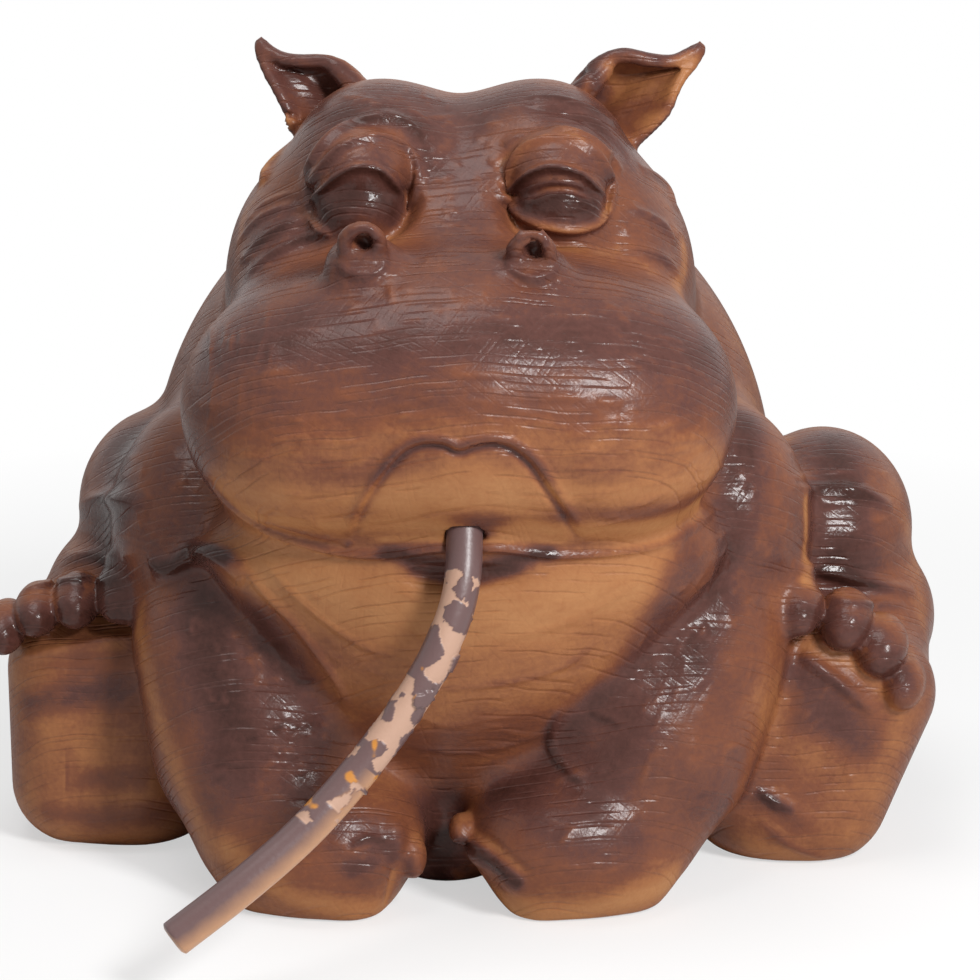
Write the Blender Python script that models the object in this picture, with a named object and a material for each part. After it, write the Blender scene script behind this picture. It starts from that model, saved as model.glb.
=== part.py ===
"""A seated hippopotamus statue, cast in one piece, with a stalk set in its mouth.

The statue faces -Y, +X is to the viewer's right of it, and +Z is up. It rests on the flat underside of its
rump, heels and forepaws, at Z = 0. Sizes are in millimetres, and MM turns them into Blender's metres.

The body is modelled as clay: rounded lumps are blended into one mass, creases are pressed into it, and its
skin is then meshed, thinned and drilled for the stalk. "Left" and "right" are the viewer's.
"""

import math
from dataclasses import dataclass

import bpy
import numpy as np
import openvdb
from mathutils import Euler, Vector
from mathutils.bvhtree import BVHTree

MM = 0.001

# How finely the clay is sampled, and how many triangles its skin keeps
GRID_STEP = 1.0
BODY_TRIANGLES = 11600

# Torso, by how high its middle lies and how far its front lies before the origin
TORSO_RISE = 74.0
TORSO_LEAD = 48.0
TORSO_WIDTH = 148.0
TORSO_DEPTH = 124.0
TORSO_HEIGHT = 160.0

# Head, by how far the middle of the skull lies below the torso's top and before the origin
HEAD_SINK = 20.0
HEAD_LEAD = 15.0
SKULL_WIDTH = 100.0
SKULL_DEPTH = 92.0
SKULL_HEIGHT = 74.0
BROW_SPACING = 36.0
EYE_SPACING = 42.0
EYE_REACH = 31.0
EYE_RISE = 21.5
EYE_RADIUS = 11.8
EAR_THICKNESS = 2.6
EAR_RIM = 1.9

# Muzzle, placed by its middle, measured from the middle of the skull
MUZZLE_REACH = 47.0
MUZZLE_DROP = 22.0
MUZZLE_WIDTH = 119.0
MUZZLE_HEIGHT = 66.0
NOSTRIL_SPACING = 34.5
NOSTRIL_RADIUS = 4.0
NOSTRIL_RIM = 2.0
MOUTH_WIDTH = 37.0

# Forelegs and paws
SHOULDER_SPACING = 118.0
SHOULDER_RISE = 78.0
ARM_THICKNESS = 50.0
PAW_REACH = 62.0
PAW_WIDTH = 51.0

# Hind legs and feet
HIND_SPACING = 158.0
THIGH_THICKNESS = 44.0
FOOT_WIDTH = 44.0
FOOT_HEIGHT = 57.0
TOE_WIDTH = 10.4

# Stalk and the socket that holds it
STALK_DIAMETER = 7.4
STALK_SIDES = 14
STALK_CHAMFER = 0.6
SOCKET_CLEARANCE = 0.3
SOCKET_DEPTH = 9.0
SOCKET_STEPS_OUT = 3

HEAD = Vector((0.0, -HEAD_LEAD, TORSO_RISE + TORSO_HEIGHT / 2 - HEAD_SINK))
MUZZLE = HEAD + Vector((0.0, -MUZZLE_REACH, -MUZZLE_DROP))


@dataclass(frozen=True)
class Lump:
    """One lump of clay.

    It has a middle, half sizes, a turn in degrees, and the width of the fillet that joins it to the rest.
    It is an ellipsoid, or a box where it has a corner radius. A hollow one is taken out of the clay.
    """

    centre: Vector
    radii: tuple
    turn: tuple = (0.0, 0.0, 0.0)
    blend: float = 6.0
    corner: float = 0.0
    hollow: bool = False


@dataclass(frozen=True)
class Crease:
    """A line of (x, z) points pressed into the clay from the front, or raised where its depth is negative."""

    path: tuple
    width: float
    depth: float


def smooth_union(first, second, blend):
    """The distance to two joined shapes, with a fillet about as wide as blend."""
    overlap = np.maximum(blend - np.abs(first - second), 0.0) / blend
    return np.minimum(first, second) - overlap * overlap * blend / 4.0


def smooth_path(points, steps=6):
    """Points along a smooth curve through the given ones (Catmull-Rom)."""
    knots = [np.array(point, float) for point in points]
    knots = [2 * knots[0] - knots[1]] + knots + [2 * knots[-1] - knots[-2]]
    made = []
    for before, start, end, after in zip(knots, knots[1:], knots[2:], knots[3:]):
        for t in np.arange(steps) / steps:
            square = 2 * before - 5 * start + 4 * end - after
            cube = 3 * start - before - 3 * end + after
            made.append(0.5 * (2 * start + (end - before) * t + square * t * t + cube * t**3))
    made.append(knots[-2])
    return np.array(made)


def moved(points, anchor, across=1.0, up=1.0):
    """(x, z) points given from an anchor, stretched across and up, and put in place."""
    return tuple((anchor.x + x * across, anchor.z + z * up) for x, z in points)


class Clay:
    """A block of space on a grid. Each sample holds its distance to the clay's surface, negative inside."""

    EMPTY = 50.0
    MARGIN = 6.0

    def __init__(self, lumps, step):
        """Makes room for the lumps that are going to be added."""
        self.step = step
        reach = [max(lump.radii) + self.MARGIN for lump in lumps]
        low = np.min([np.array(lump.centre) - r for lump, r in zip(lumps, reach)], 0)
        high = np.max([np.array(lump.centre) + r for lump, r in zip(lumps, reach)], 0)
        low[2] = -self.MARGIN
        first = np.floor(low / step)
        last = np.ceil(high / step) + 1
        self.axes = [(np.arange(a, b) * step).astype(np.float32) for a, b in zip(first, last)]
        self.samples = np.full([len(axis) for axis in self.axes], self.EMPTY, np.float32)

    def window(self, low, high):
        """The part of the grid between two corners, as slices and broadcast coordinates."""
        ends = [np.searchsorted(axis, (a, b)) for axis, a, b in zip(self.axes, low, high)]
        slices = tuple(slice(a, b) for a, b in ends)
        x, y, z = (axis[cut] for axis, cut in zip(self.axes, slices))
        return slices, (x[:, None, None], y[None, :, None], z[None, None, :])

    def work(self, lump):
        """Joins a lump to the clay, or takes a hollow one out of it."""
        slices, distance = self.lump_distance(lump)
        here = self.samples[slices]
        if lump.hollow:
            self.samples[slices] = -smooth_union(-here, distance, lump.blend)
        else:
            self.samples[slices] = smooth_union(here, distance, lump.blend)

    def add_roll(self, path, radii, blend):
        """Joins a round roll along a path, with a radius at each point, to the clay."""
        reach = max(radii) + blend + 3 * self.step
        slices, (x, y, z) = self.window(path.min(0) - reach, path.max(0) + reach)
        distance = np.inf
        for start, end, first, last in zip(path, path[1:], radii, radii[1:]):
            side = end - start
            dx, dy, dz = x - start[0], y - start[1], z - start[2]
            along = np.clip((dx * side[0] + dy * side[1] + dz * side[2]) / (side @ side), 0, 1)
            dx, dy, dz = dx - along * side[0], dy - along * side[1], dz - along * side[2]
            gap = np.sqrt(dx**2 + dy**2 + dz**2)
            distance = np.minimum(distance, gap - first - (last - first) * along)
        self.samples[slices] = smooth_union(self.samples[slices], distance, blend)

    def lump_distance(self, lump):
        """The grid window round a lump and each sample's distance to it."""
        centre = np.array(lump.centre)
        reach = 1.5 * max(lump.radii) + lump.blend + 3 * self.step
        slices, (x, y, z) = self.window(centre - reach, centre + reach)
        turn = np.array(Euler([math.radians(angle) for angle in lump.turn]).to_matrix())
        x, y, z = x - centre[0], y - centre[1], z - centre[2]
        along = [axis[0] * x + axis[1] * y + axis[2] * z for axis in turn.T]
        if lump.corner:
            past = [np.abs(a) - (radius - lump.corner) for a, radius in zip(along, lump.radii)]
            outside = np.sqrt(sum(np.maximum(p, 0.0) ** 2 for p in past))
            inside = np.minimum(np.maximum.reduce(past), 0.0)
            return slices, outside + inside - lump.corner
        near = np.sqrt(sum((a / radius) ** 2 for a, radius in zip(along, lump.radii)))
        far = np.sqrt(sum((a / radius**2) ** 2 for a, radius in zip(along, lump.radii))) + 1e-6
        return slices, near * (near - 1.0) / far

    def add_sheet(self, points, faces, thickness, blend):
        """Joins a thin sheet, given as its middle surface, to the clay."""
        tree = BVHTree.FromPolygons(points, faces)
        reach = thickness + blend + 2 * self.step
        slices, (x, y, z) = self.window(np.min(points, 0) - reach, np.max(points, 0) + reach)
        distance = np.full((x.size, y.size, z.size), self.EMPTY, np.float32)
        for place in np.ndindex(distance.shape):
            sample = (x.flat[place[0]], y.flat[place[1]], z.flat[place[2]])
            found = tree.find_nearest(sample, reach)[3]
            if found is not None:
                distance[place] = found - thickness / 2
        self.samples[slices] = smooth_union(self.samples[slices], distance, blend)

    def front_of(self, x, z):
        """The clay's surface as met from the front at (x, z), and the way it faces, or None."""
        i = int((x - self.axes[0][0]) / self.step)
        k = int((z - self.axes[2][0]) / self.step)
        share_x = (x - self.axes[0][i]) / self.step
        share_z = (z - self.axes[2][k]) / self.step
        low, high = self.samples[i : i + 2, :, k], self.samples[i : i + 2, :, k + 1]
        columns = low * (1 - share_z) + high * share_z
        column = columns[0] * (1 - share_x) + columns[1] * share_x
        inside = np.flatnonzero(column < 0)
        if not len(inside) or inside[0] == 0:
            return None
        j = inside[0]
        y = self.axes[1][j - 1] + column[j - 1] / (column[j - 1] - column[j]) * self.step
        block = self.samples[i - 1 : i + 2, j - 2 : j + 1, k - 1 : k + 2]
        facing = np.array([block[2].mean() - block[0].mean(), 0.0, 0.0])
        facing[1] = block[:, 2].mean() - block[:, 0].mean()
        facing[2] = block[:, :, 2].mean() - block[:, :, 0].mean()
        return np.array((x, y, z)), facing / (np.linalg.norm(facing) + 1e-9)

    def press(self, crease):
        """Presses a crease into the clay from the front, fading at both ends."""
        met = [self.front_of(x, z) for x, z in smooth_path(crease.path)]
        met = [found for found in met if found is not None]
        if len(met) < 2:
            return
        path = np.array([place for place, _ in met])
        reach = 2.5 * crease.width + abs(crease.depth) + self.step
        slices, (x, y, z) = self.window(path.min(0) - reach, path.max(0) + reach)
        nearest, place = np.inf, 0.0
        for number, (start, end) in enumerate(zip(path, path[1:])):
            facing = met[number][1]
            side = end - start
            dx, dy, dz = x - start[0], y - start[1], z - start[2]
            along = np.clip((dx * side[0] + dy * side[1] + dz * side[2]) / (side @ side), 0, 1)
            dx, dy, dz = dx - along * side[0], dy - along * side[1], dz - along * side[2]
            sunk = dx * facing[0] + dy * facing[1] + dz * facing[2]
            gap = dx**2 + dy**2 + dz**2 - 0.85 * sunk**2
            place = np.where(gap < nearest, (number + along) / (len(path) - 1), place)
            nearest = np.minimum(gap, nearest)
        fade = np.sqrt(np.clip(np.sin(np.pi * place), 0.0, 1.0))
        self.samples[slices] += crease.depth * fade * np.exp(-nearest / crease.width**2)

    def flatten_below(self, height):
        """Cuts the clay off flat at a height."""
        self.samples = np.maximum(self.samples, height - self.axes[2][None, None, :])

    def skin(self, name):
        """A Blender mesh of the clay's surface, in metres."""
        grid = openvdb.FloatGrid(self.EMPTY)
        grid.copyFromArray(self.samples)
        points, _, quads = grid.convertToPolygons(isovalue=0.0, adaptivity=0.0)
        low = np.array([axis[0] for axis in self.axes])
        mesh = bpy.data.meshes.new(name)
        mesh.from_pydata((points * self.step + low) * MM, [], quads[:, ::-1].tolist())
        mesh.validate()
        return mesh


def torso():
    """The egg-shaped trunk and the thick throat in front of it."""
    middle = Vector((0.0, TORSO_DEPTH / 2 - TORSO_LEAD, TORSO_RISE))
    half = (TORSO_WIDTH / 2, TORSO_DEPTH / 2, TORSO_HEIGHT / 2)
    front = Vector((0.0, -TORSO_LEAD, TORSO_RISE))
    return [
        Lump(middle, half, blend=4),
        Lump(middle + Vector((0, 4, -44)), (half[0] + 1, half[1] + 2, half[2] - 36), blend=14),
        Lump(front + Vector((0, 2, -6)), (43, 32, 40), blend=12),
        Lump(front + Vector((0, 16, -36)), (38, 31, 30), blend=12),
    ]


def head():
    """Skull, brows, cheeks and the broad muzzle with its two lobes."""
    half_width, half_height = MUZZLE_WIDTH / 2, MUZZLE_HEIGHT / 2
    lumps = [Lump(HEAD, (SKULL_WIDTH / 2, SKULL_DEPTH / 2, SKULL_HEIGHT / 2), blend=12)]
    lumps.append(Lump(MUZZLE + Vector((0, 0, 2)), (half_width - 14, 38, half_height), blend=10))
    for side in (-1, 1):
        brow = HEAD + Vector((side * BROW_SPACING / 2, -8, 24))
        lumps += [
            Lump(brow, (18.5, 26, 17.5), (0, side * 8, 0), blend=8),
            Lump(HEAD + Vector((side * 37, -8, -2)), (14, 30, 24), (0, side * -12, 0), blend=8),
            Lump(MUZZLE + Vector((side * (half_width - 33), 1, -1)), (32.5, 36, half_height - 5), blend=8),
            Lump(MUZZLE + Vector((side * (half_width - 29), 1, -8)), (23, 29, half_height - 14), blend=6),
        ]
    return lumps


def jaw():
    """The lower jaw under the muzzle, running down into the throat."""
    return [
        Lump(MUZZLE + Vector((1, 8, -34)), (56, 31, 24), blend=10),
        Lump(MUZZLE + Vector((1, 14, -50)), (45, 26, 22), blend=14),
    ]


def eyes():
    """Bulging, half-closed eyes in shallow sockets, each under a heavy lid."""
    lumps = []
    r = EYE_RADIUS
    for side in (-1, 1):
        eye = HEAD + Vector((side * EYE_SPACING / 2, -EYE_REACH, EYE_RISE))
        lumps += [
            Lump(eye + Vector((0, -9.5, 1)), (r + 1.6, r - 1, r + 1.4), blend=2, hollow=True),
            Lump(eye + Vector((0, 0.8, 3)), (r - 0.4, r, r - 2.2), (-6, 0, 0), blend=0.8),
            Lump(eye + Vector((0, -1.9, -3.4)), (r - 1.8, r - 1.6, r - 4.2), (10, 0, 0), blend=0.4),
            Lump(eye + Vector((0, -1.6, -9.4)), (r - 1, r - 3.6, r - 7.4), blend=3),
        ]
    return lumps


def nostrils():
    """Two raised nostrils on the top of the muzzle, each a rolled rim round a small hole."""
    lumps = []
    for side in (-1, 1):
        middle = MUZZLE + Vector((side * NOSTRIL_SPACING / 2 - 2.2, -16.5, 35.2 - side * 0.9))
        lumps.append(Lump(middle + Vector((0, 5.5, -5.5)), (8, 8, 7), blend=4))
        for angle in np.arange(18) * 2 * math.pi / 18:
            across = NOSTRIL_RADIUS * math.cos(angle)
            up = NOSTRIL_RADIUS * math.sin(angle)
            place = middle + Vector((across, -0.4 * up, 0.92 * up))
            lumps.append(Lump(place, (NOSTRIL_RIM,) * 3, blend=1.0))
        lumps.append(Lump(middle + Vector((0, 2.6, -1)), (NOSTRIL_RADIUS,) * 3, blend=0.5))
        hole = (NOSTRIL_RADIUS * 0.62, 3.2, NOSTRIL_RADIUS * 0.56)
        lumps.append(Lump(middle + Vector((0.6, -0.8, 0.8)), hole, (-24, 0, 0), blend=0.8, hollow=True))
    return lumps


# Each ear as its upper and lower edge from the root to the tip, and the fold at its root, measured from the
# middle of the skull
EARS = (
    {
        "upper": (
            (-20, 12, 37), (-24, 11, 40.5), (-27, 10, 43), (-31, 10, 44.2), (-36, 10, 44.2), (-40, 11, 44.6),
            (-43, 12, 46), (-45, 13, 47.8),
        ),
        "lower": (
            (-33, 6, 25), (-37, 6, 29), (-38.8, 6, 32.8), (-41, 7, 37), (-43.4, 9, 41), (-45, 11, 44.6),
            (-45.6, 12, 46.6), (-45.6, 13, 47.6),
        ),
        "bowl": 5.5,
        "root": ((-21, 9, 35), (-24.5, 8, 39), (-28, 8, 42)),
    },
    {
        "upper": (
            (24, 12, 36), (30, 11, 42.6), (36, 10, 45.6), (42, 10, 44.6), (47.6, 11, 44), (51.5, 12, 45.6),
            (54, 13, 46.8),
        ),
        "lower": (
            (37, 6, 24), (42.3, 6, 28.5), (46.2, 6, 32.8), (48.2, 7, 37.2), (50.2, 9, 40.6),
            (52.8, 11, 43.4), (54.4, 13, 46.2),
        ),
        "bowl": 7.5,
        "root": ((26, 9, 35.5), (29, 7.5, 38.5), (32.5, 8, 42)),
    },
)
EAR_STEPS_ACROSS = 9


def add_ear(clay, ear):
    """Joins an ear to the clay: a bowl that opens to the front, its rolled upper rim and its root."""
    upper, lower = smooth_path(ear["upper"]), smooth_path(ear["lower"])
    middle = np.array(HEAD)
    points = []
    for number, (top, bottom) in enumerate(zip(upper, lower)):
        fade = 1.0 - (number / (len(upper) - 1)) ** 2
        for t in np.linspace(0.0, 1.0, EAR_STEPS_ACROSS):
            point = top + (bottom - top) * t + middle
            point[1] += ear["bowl"] * fade * (1.0 - (2.0 * t - 1.0) ** 2)
            points.append(point)
    across = EAR_STEPS_ACROSS
    corners = [row * across + t for row in range(len(upper) - 1) for t in range(across - 1)]
    faces = [(a, a + 1, a + across + 1, a + across) for a in corners]
    clay.add_sheet(points, faces, EAR_THICKNESS, 2.5)
    rim = upper[6:] + middle + (0.0, -1.1, -0.5)
    clay.add_roll(rim, np.linspace(EAR_RIM, EAR_RIM * 0.7, len(rim)), 0.8)
    clay.add_roll(np.array(ear["root"]) + middle, (3.2, 2.8, 2.0), 1.0)


def forelegs():
    """Thick forelegs that come down in front of the belly to paws that almost meet."""
    half = ARM_THICKNESS / 2
    lumps = [Lump(Vector((-3, 18 - PAW_REACH, 10)), (15, 14, 14), blend=6)]
    for side in (-1, 1):
        shoulder = Vector((side * SHOULDER_SPACING / 2, -24, SHOULDER_RISE))
        elbow = shoulder + Vector((side * -10, -16, -28))
        paw = Vector((side * 29.5 - 3, -PAW_REACH, 14))
        wrist = (elbow + paw) / 2 + Vector((side * 3, 2, 0))
        lumps += [
            Lump(shoulder, (20, 28, 26), (0, side * -8, 0), blend=9),
            Lump(elbow, (half - 1, half, 27), (-16, side * 10, 0), blend=4),
            Lump(wrist, (half, half, 25), (-14, side * 24, 0), blend=8),
            Lump(paw, (PAW_WIDTH / 2, 21, 17), (0, side * 6, side * 20), blend=8),
            Lump(paw + Vector((side * -1, -1, -8)), (PAW_WIDTH / 2 - 8, 13, 9), (0, 0, side * 16), 5, 8),
        ]
    return lumps


# Where each forepaw's toes bulge: across, back from the paws' middle, and up
PAW_TOES = (
    ((-20.5, -16.5, 13.5), (5.2, 5.0, 4.4)),
    ((-14.5, -13.5, 18.0), (3.4, 4.5, 5.2)),
    ((-10.0, -11.5, 13.5), (3.0, 4.5, 5.0)),
    ((0.3, -6.5, 17.7), (2.8, 5.0, 3.4)),
    ((5.8, -11.0, 14.5), (4.4, 5.0, 3.8)),
    ((12.4, -15.6, 10.6), (4.4, 5.0, 3.8)),
)


def paw_toes():
    """Three small toes at the inner front of each forepaw."""
    paws = Vector((0, -PAW_REACH, 0))
    return [Lump(paws + Vector(centre), radii, blend=1.5) for centre, radii in PAW_TOES]


# The hind feet differ: the right one is turned outward. Points are measured outward from half of
# HIND_SPACING. Toes are given as (across, up, size), in shares of half the sole and half TOE_WIDTH.
FEET = (
    {
        "side": -1,
        "sole": (3.5, -16.0, 27.0),
        "turn": 0.0,
        "heel": (-3.0, -14.0, 10.0),
        "knee": (-9.0, 10.0, 71.0),
        "shin": (-1.0, 2.0, 50.0),
        "toes": ((-0.94, 0.91, 0.96), (-0.60, 1.06, 1.02), (-0.19, 1.13, 1.06), (0.245, 1.17, 0.96)),
    },
    {
        "side": 1,
        "sole": (2.5, -25.5, 28.0),
        "turn": 22.0,
        "heel": (-7.0, -26.0, 10.0),
        "knee": (7.0, 10.0, 66.0),
        "shin": (12.0, 2.0, 47.0),
        "toes": ((-0.265, 1.13, 0.98), (0.20, 1.04, 1.15), (0.565, 0.83, 1.19), (0.79, 0.535, 1.02)),
    },
)
TOE_STRETCH = 1.1


def spread(foot, part):
    """A point of a hind leg in place."""
    x, y, z = foot[part]
    return Vector((foot["side"] * (HIND_SPACING / 2 + x), y, z))


def hind_legs():
    """Hind legs folded beside the body, soles to the front and toes up."""
    lumps = []
    thick = THIGH_THICKNESS / 2
    for foot in FEET:
        side = foot["side"]
        sole = spread(foot, "sole")
        lumps += [
            Lump(spread(foot, "knee"), (thick - 1, 32, 23), (0, side * 8, 0), blend=6),
            Lump(spread(foot, "shin"), (thick - 1, 28, 20), (0, side * 6, 0), blend=4),
            Lump(sole + Vector((0, 16, -3)), (23, 28, 25), blend=7),
            Lump(spread(foot, "heel"), (20, 20, 14), blend=8),
            Lump(sole, (FOOT_WIDTH / 2, 21, FOOT_HEIGHT / 2), (0, foot["turn"], 0), 7, 15),
        ]
    return lumps


def foot_toes():
    """Four round toes along the top of each sole."""
    lumps = []
    for foot in FEET:
        sole = spread(foot, "sole")
        for across, up, size in foot["toes"]:
            centre = sole + Vector((across * FOOT_WIDTH / 2, -15.5, up * FOOT_HEIGHT / 2))
            half = size * TOE_WIDTH / 2
            lumps.append(Lump(centre, (half, 9.5, half * TOE_STRETCH), (12, foot["turn"], 0), blend=0.8))
    return lumps


# The line between muzzle and jaw, and the arch of the upper lip, from the muzzle's middle: across in shares
# of its half width, and up in millimetres
LIP_LINE = (
    (-0.941, -9), (-0.849, -15), (-0.748, -19.5), (-0.655, -23), (-0.555, -25.2), (-0.445, -27.6),
    (-0.252, -28.6), (0.0, -28.4), (0.303, -28.6), (0.454, -28.8), (0.588, -27.6), (0.748, -25.4),
    (0.857, -21), (0.941, -13),
)
LIP_ARCH = (
    (-0.39, -23.7), (-0.35, -15.9), (-0.244, -5.6), (-0.158, -2.3), (-0.074, -1.5), (0.0, -3.1),
    (0.077, -1.5), (0.178, -1.9), (0.245, -5), (0.331, -12.4), (0.393, -21), (0.457, -25.2),
)
ARCH_GROOVE = (
    (-0.434, -21), (-0.387, -14), (-0.282, -3.8), (-0.175, 0.3), (-0.081, 1.2), (0.0, -0.2),
    (0.084, 1.2), (0.195, 0.8), (0.282, -3), (0.373, -11), (0.437, -19),
)


def mouth_lines():
    """The lines of the closed lips and the arched bead of the upper lip."""
    return [
        Crease(moved(LIP_LINE, MUZZLE, MUZZLE_WIDTH / 2), 1.5, 2.0),
        Crease(moved(ARCH_GROOVE, MUZZLE, MUZZLE_WIDTH / 2), 1.6, 1.5),
        Crease(moved(LIP_ARCH, MUZZLE, MUZZLE_WIDTH / 2), 1.5, -1.6),
    ]


def mouth_gap():
    """The small parted mouth in the middle of the lip line."""
    half = MOUTH_WIDTH / 2
    return [Lump(MUZZLE + Vector((1, -26, -32.2)), (half, 5.5, 3.9), (-14, 0, 0), 1.2, hollow=True)]


# Folds of the face, from the middle of the skull: brow folds, cheek folds
FACE_FOLDS = (
    (((-34, 20), (-31, 28), (-25, 33), (-16, 34.5), (-8.5, 31)), 1.8, 1.6),
    (((9.5, 29), (14.5, 33), (21, 34.5), (28, 32), (33, 26), (35.5, 21)), 1.8, 2.0),
    (((-38, 28), (-41, 20), (-43.5, 12), (-44, 4)), 2.2, 1.8),
    (((38, 20), (40, 11), (45, 5)), 2.2, 1.4),
)
LID_CREASES = (
    ((-0.95, -0.42), (-0.72, 0.0), (-0.34, 0.32), (0.0, 0.42), (0.34, 0.39), (0.59, 0.17), (0.81, -0.21)),
    ((-0.8, -0.13), (-0.51, 0.24), (-0.13, 0.41), (0.25, 0.37), (0.58, 0.22), (0.85, -0.25)),
)


def face_folds():
    """Folds over the brows and cheeks, and the edge of each eyelid."""
    folds = [Crease(moved(path, HEAD), width, depth) for path, width, depth in FACE_FOLDS]
    for side, path in zip((-1, 1), LID_CREASES):
        eye = HEAD + Vector((side * EYE_SPACING / 2, 0, EYE_RISE))
        folds.append(Crease(moved(path, eye, EYE_RADIUS, EYE_RADIUS), 1.3, 2.0))
    return folds


# Folds of the limbs as seen from the front, each with its side: those of the forelegs (elbow and wrist) are
# measured from half of SHOULDER_SPACING, and those of the hind legs from half of HIND_SPACING
ARM_FOLDS = (
    (-1, ((-14, 69), (-7, 70), (-1, 74), (5, 76), (12, 71)), 3.2, 4.0),
    (1, ((-38.5, 50), (-41, 43), (-40, 38), (-35, 33), (-32, 30)), 1.8, 2.0),
)
LEG_FOLDS = (
    (-1, ((-15, 76), (-5, 75), (5, 77)), 2.8, 2.8),
    (-1, ((-23, 43), (-13, 47), (-3, 49), (9, 50)), 1.9, 1.8),
    (1, ((-3, 78), (9, 77), (20, 76), (28, 74)), 2.6, 2.0),
    (1, ((-5, 62), (7, 60), (19, 57), (31, 55)), 2.2, 2.6),
    (1, ((-13, 50), (-3, 45), (8, 38), (18, 28)), 1.9, 2.0),
    (1, ((-15, 21), (-9, 16), (-1, 12), (7, 10)), 1.8, 1.8),
)


def limb_folds():
    """Folds of the limbs."""
    folds = []
    for table, spacing in ((ARM_FOLDS, SHOULDER_SPACING), (LEG_FOLDS, HIND_SPACING)):
        for side, path, width, depth in table:
            folds.append(Crease(moved(path, Vector((side * spacing / 2, 0, 0))), width, depth))
    return folds


def body_clay():
    """The whole statue as one mass of clay."""
    masses = torso() + jaw() + hind_legs() + foot_toes() + forelegs() + paw_toes() + head()
    clay = Clay(masses, GRID_STEP)
    for lump in masses + eyes() + nostrils():
        clay.work(lump)
    for ear in EARS:
        add_ear(clay, ear)
    for crease in mouth_lines() + face_folds() + limb_folds():
        clay.press(crease)
    for lump in mouth_gap():
        clay.work(lump)
    clay.flatten_below(0.0)
    return clay


# The stalk's middle line outside its socket: across and forward from the muzzle's middle, and its height as
# a share of the muzzle's
STALK_ROUTE = (
    (1.4, -24.5, 0.7991),
    (1.0, -29.0, 0.7277),
    (-0.8, -32.0, 0.6607),
    (-5.0, -35.0, 0.5759),
    (-11.5, -38.0, 0.4866),
    (-20.0, -42.0, 0.3929),
    (-31.0, -48.0, 0.2946),
    (-43.4, -54.0, 0.2098),
    (-56.6, -59.0, 0.1286),
)


def stalk_path(depth):
    """The stalk's middle line in place, starting straight inside the socket at the given depth."""
    route = smooth_path(STALK_ROUTE, 3) * (1, 1, MUZZLE.z) + (MUZZLE.x, MUZZLE.y, 0)
    inward = route[0] - route[1]
    inward /= np.linalg.norm(inward)
    return np.vstack([route[0] + inward * depth, route])


def tube(name, path, radii, sides):
    """A closed round bar along a path, with a radius for each of its points."""
    forward = (Vector(path[1]) - Vector(path[0])).normalized()
    across = forward.orthogonal().normalized()
    points = []
    for number, (place, radius) in enumerate(zip(path, radii)):
        before, after = path[max(number - 1, 0)], path[min(number + 1, len(path) - 1)]
        heading = (Vector(after) - Vector(before)).normalized()
        across = (across - heading * across.dot(heading)).normalized()
        beside = heading.cross(across)
        for angle in np.arange(sides) * 2 * math.pi / sides:
            spoke = across * math.cos(angle) + beside * math.sin(angle)
            points.append((Vector(place) + spoke * float(radius)) * MM)
    faces = [tuple(range(sides))[::-1], tuple(range(len(points) - sides, len(points)))]
    for ring in range(len(path) - 1):
        start = ring * sides
        for n in range(sides):
            after = (n + 1) % sides
            faces.append((start + n, start + after, start + sides + after, start + sides + n))
    mesh = bpy.data.meshes.new(name)
    mesh.from_pydata(points, [], faces)
    mesh.validate()
    thing = bpy.data.objects.new(name, mesh)
    bpy.context.scene.collection.objects.link(thing)
    return thing


def painted(name, colour, roughness):
    """A plain painted-resin material."""
    material = bpy.data.materials.new(name)
    material.use_nodes = True
    shader = material.node_tree.nodes["Principled BSDF"]
    shader.inputs["Base Color"].default_value = (*colour, 1.0)
    shader.inputs["Roughness"].default_value = roughness
    shader.inputs["Metallic"].default_value = 0.0
    return material


def make_socket_cutter():
    """The shape drilled out for the stalk: the stalk's own start, larger by the clearance."""
    path = stalk_path(SOCKET_DEPTH + SOCKET_CLEARANCE)[: SOCKET_STEPS_OUT + 1]
    radii = [STALK_DIAMETER / 2 + SOCKET_CLEARANCE] * len(path)
    cutter = tube("socket_cutter", path, radii, STALK_SIDES)
    cutter.hide_render = True
    cutter.display_type = "WIRE"
    return cutter


def make_body():
    """The cast body, thinned to BODY_TRIANGLES and drilled for the stalk."""
    body = bpy.data.objects.new("hippo_body", body_clay().skin("hippo_body"))
    bpy.context.scene.collection.objects.link(body)
    body.data.materials.append(painted("painted_resin", (0.20, 0.10, 0.06), 0.42))
    body.data.shade_smooth()
    thin = body.modifiers.new("thin", "DECIMATE")
    thin.ratio = BODY_TRIANGLES / (2 * len(body.data.polygons))
    drill = body.modifiers.new("drill", "BOOLEAN")
    drill.operation = "DIFFERENCE"
    drill.solver = "EXACT"
    drill.object = make_socket_cutter()
    return body


def make_stalk():
    """The bent stalk, from inside its socket to its chamfered free end."""
    path = stalk_path(SOCKET_DEPTH)
    end = path[-1] - path[-2]
    end /= np.linalg.norm(end)
    path = np.vstack([path, path[-1] + end * STALK_CHAMFER])
    radii = [STALK_DIAMETER / 2] * (len(path) - 1) + [STALK_DIAMETER / 2 - STALK_CHAMFER]
    stalk = tube("stalk", path, radii, STALK_SIDES)
    for face in stalk.data.polygons:
        face.use_smooth = len(face.vertices) == 4
    stalk.data.materials.append(painted("painted_stalk", (0.32, 0.18, 0.12), 0.5))
    return stalk


def main():
    """Clears the scene and builds the statue."""
    for old in list(bpy.data.objects):
        bpy.data.objects.remove(old)
    make_body()
    make_stalk()


main()
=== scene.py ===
"""A seated hippopotamus statue in painted cast resin, with a flaking stalk set in its mouth.

The statue faces -Y, +X is to the viewer's right of it, and it rests on the floor at Z = 0. Sizes are in
millimetres, and MM turns them into metres. "Left" and "right" are the viewer's.

The body is made as a sculptor makes it. Lumps of clay are blended into one mass, lines are carved into its
skin, and the skin is then sprayed and dressed in paint. Lines and sprays are placed in the front view.
"""

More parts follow.
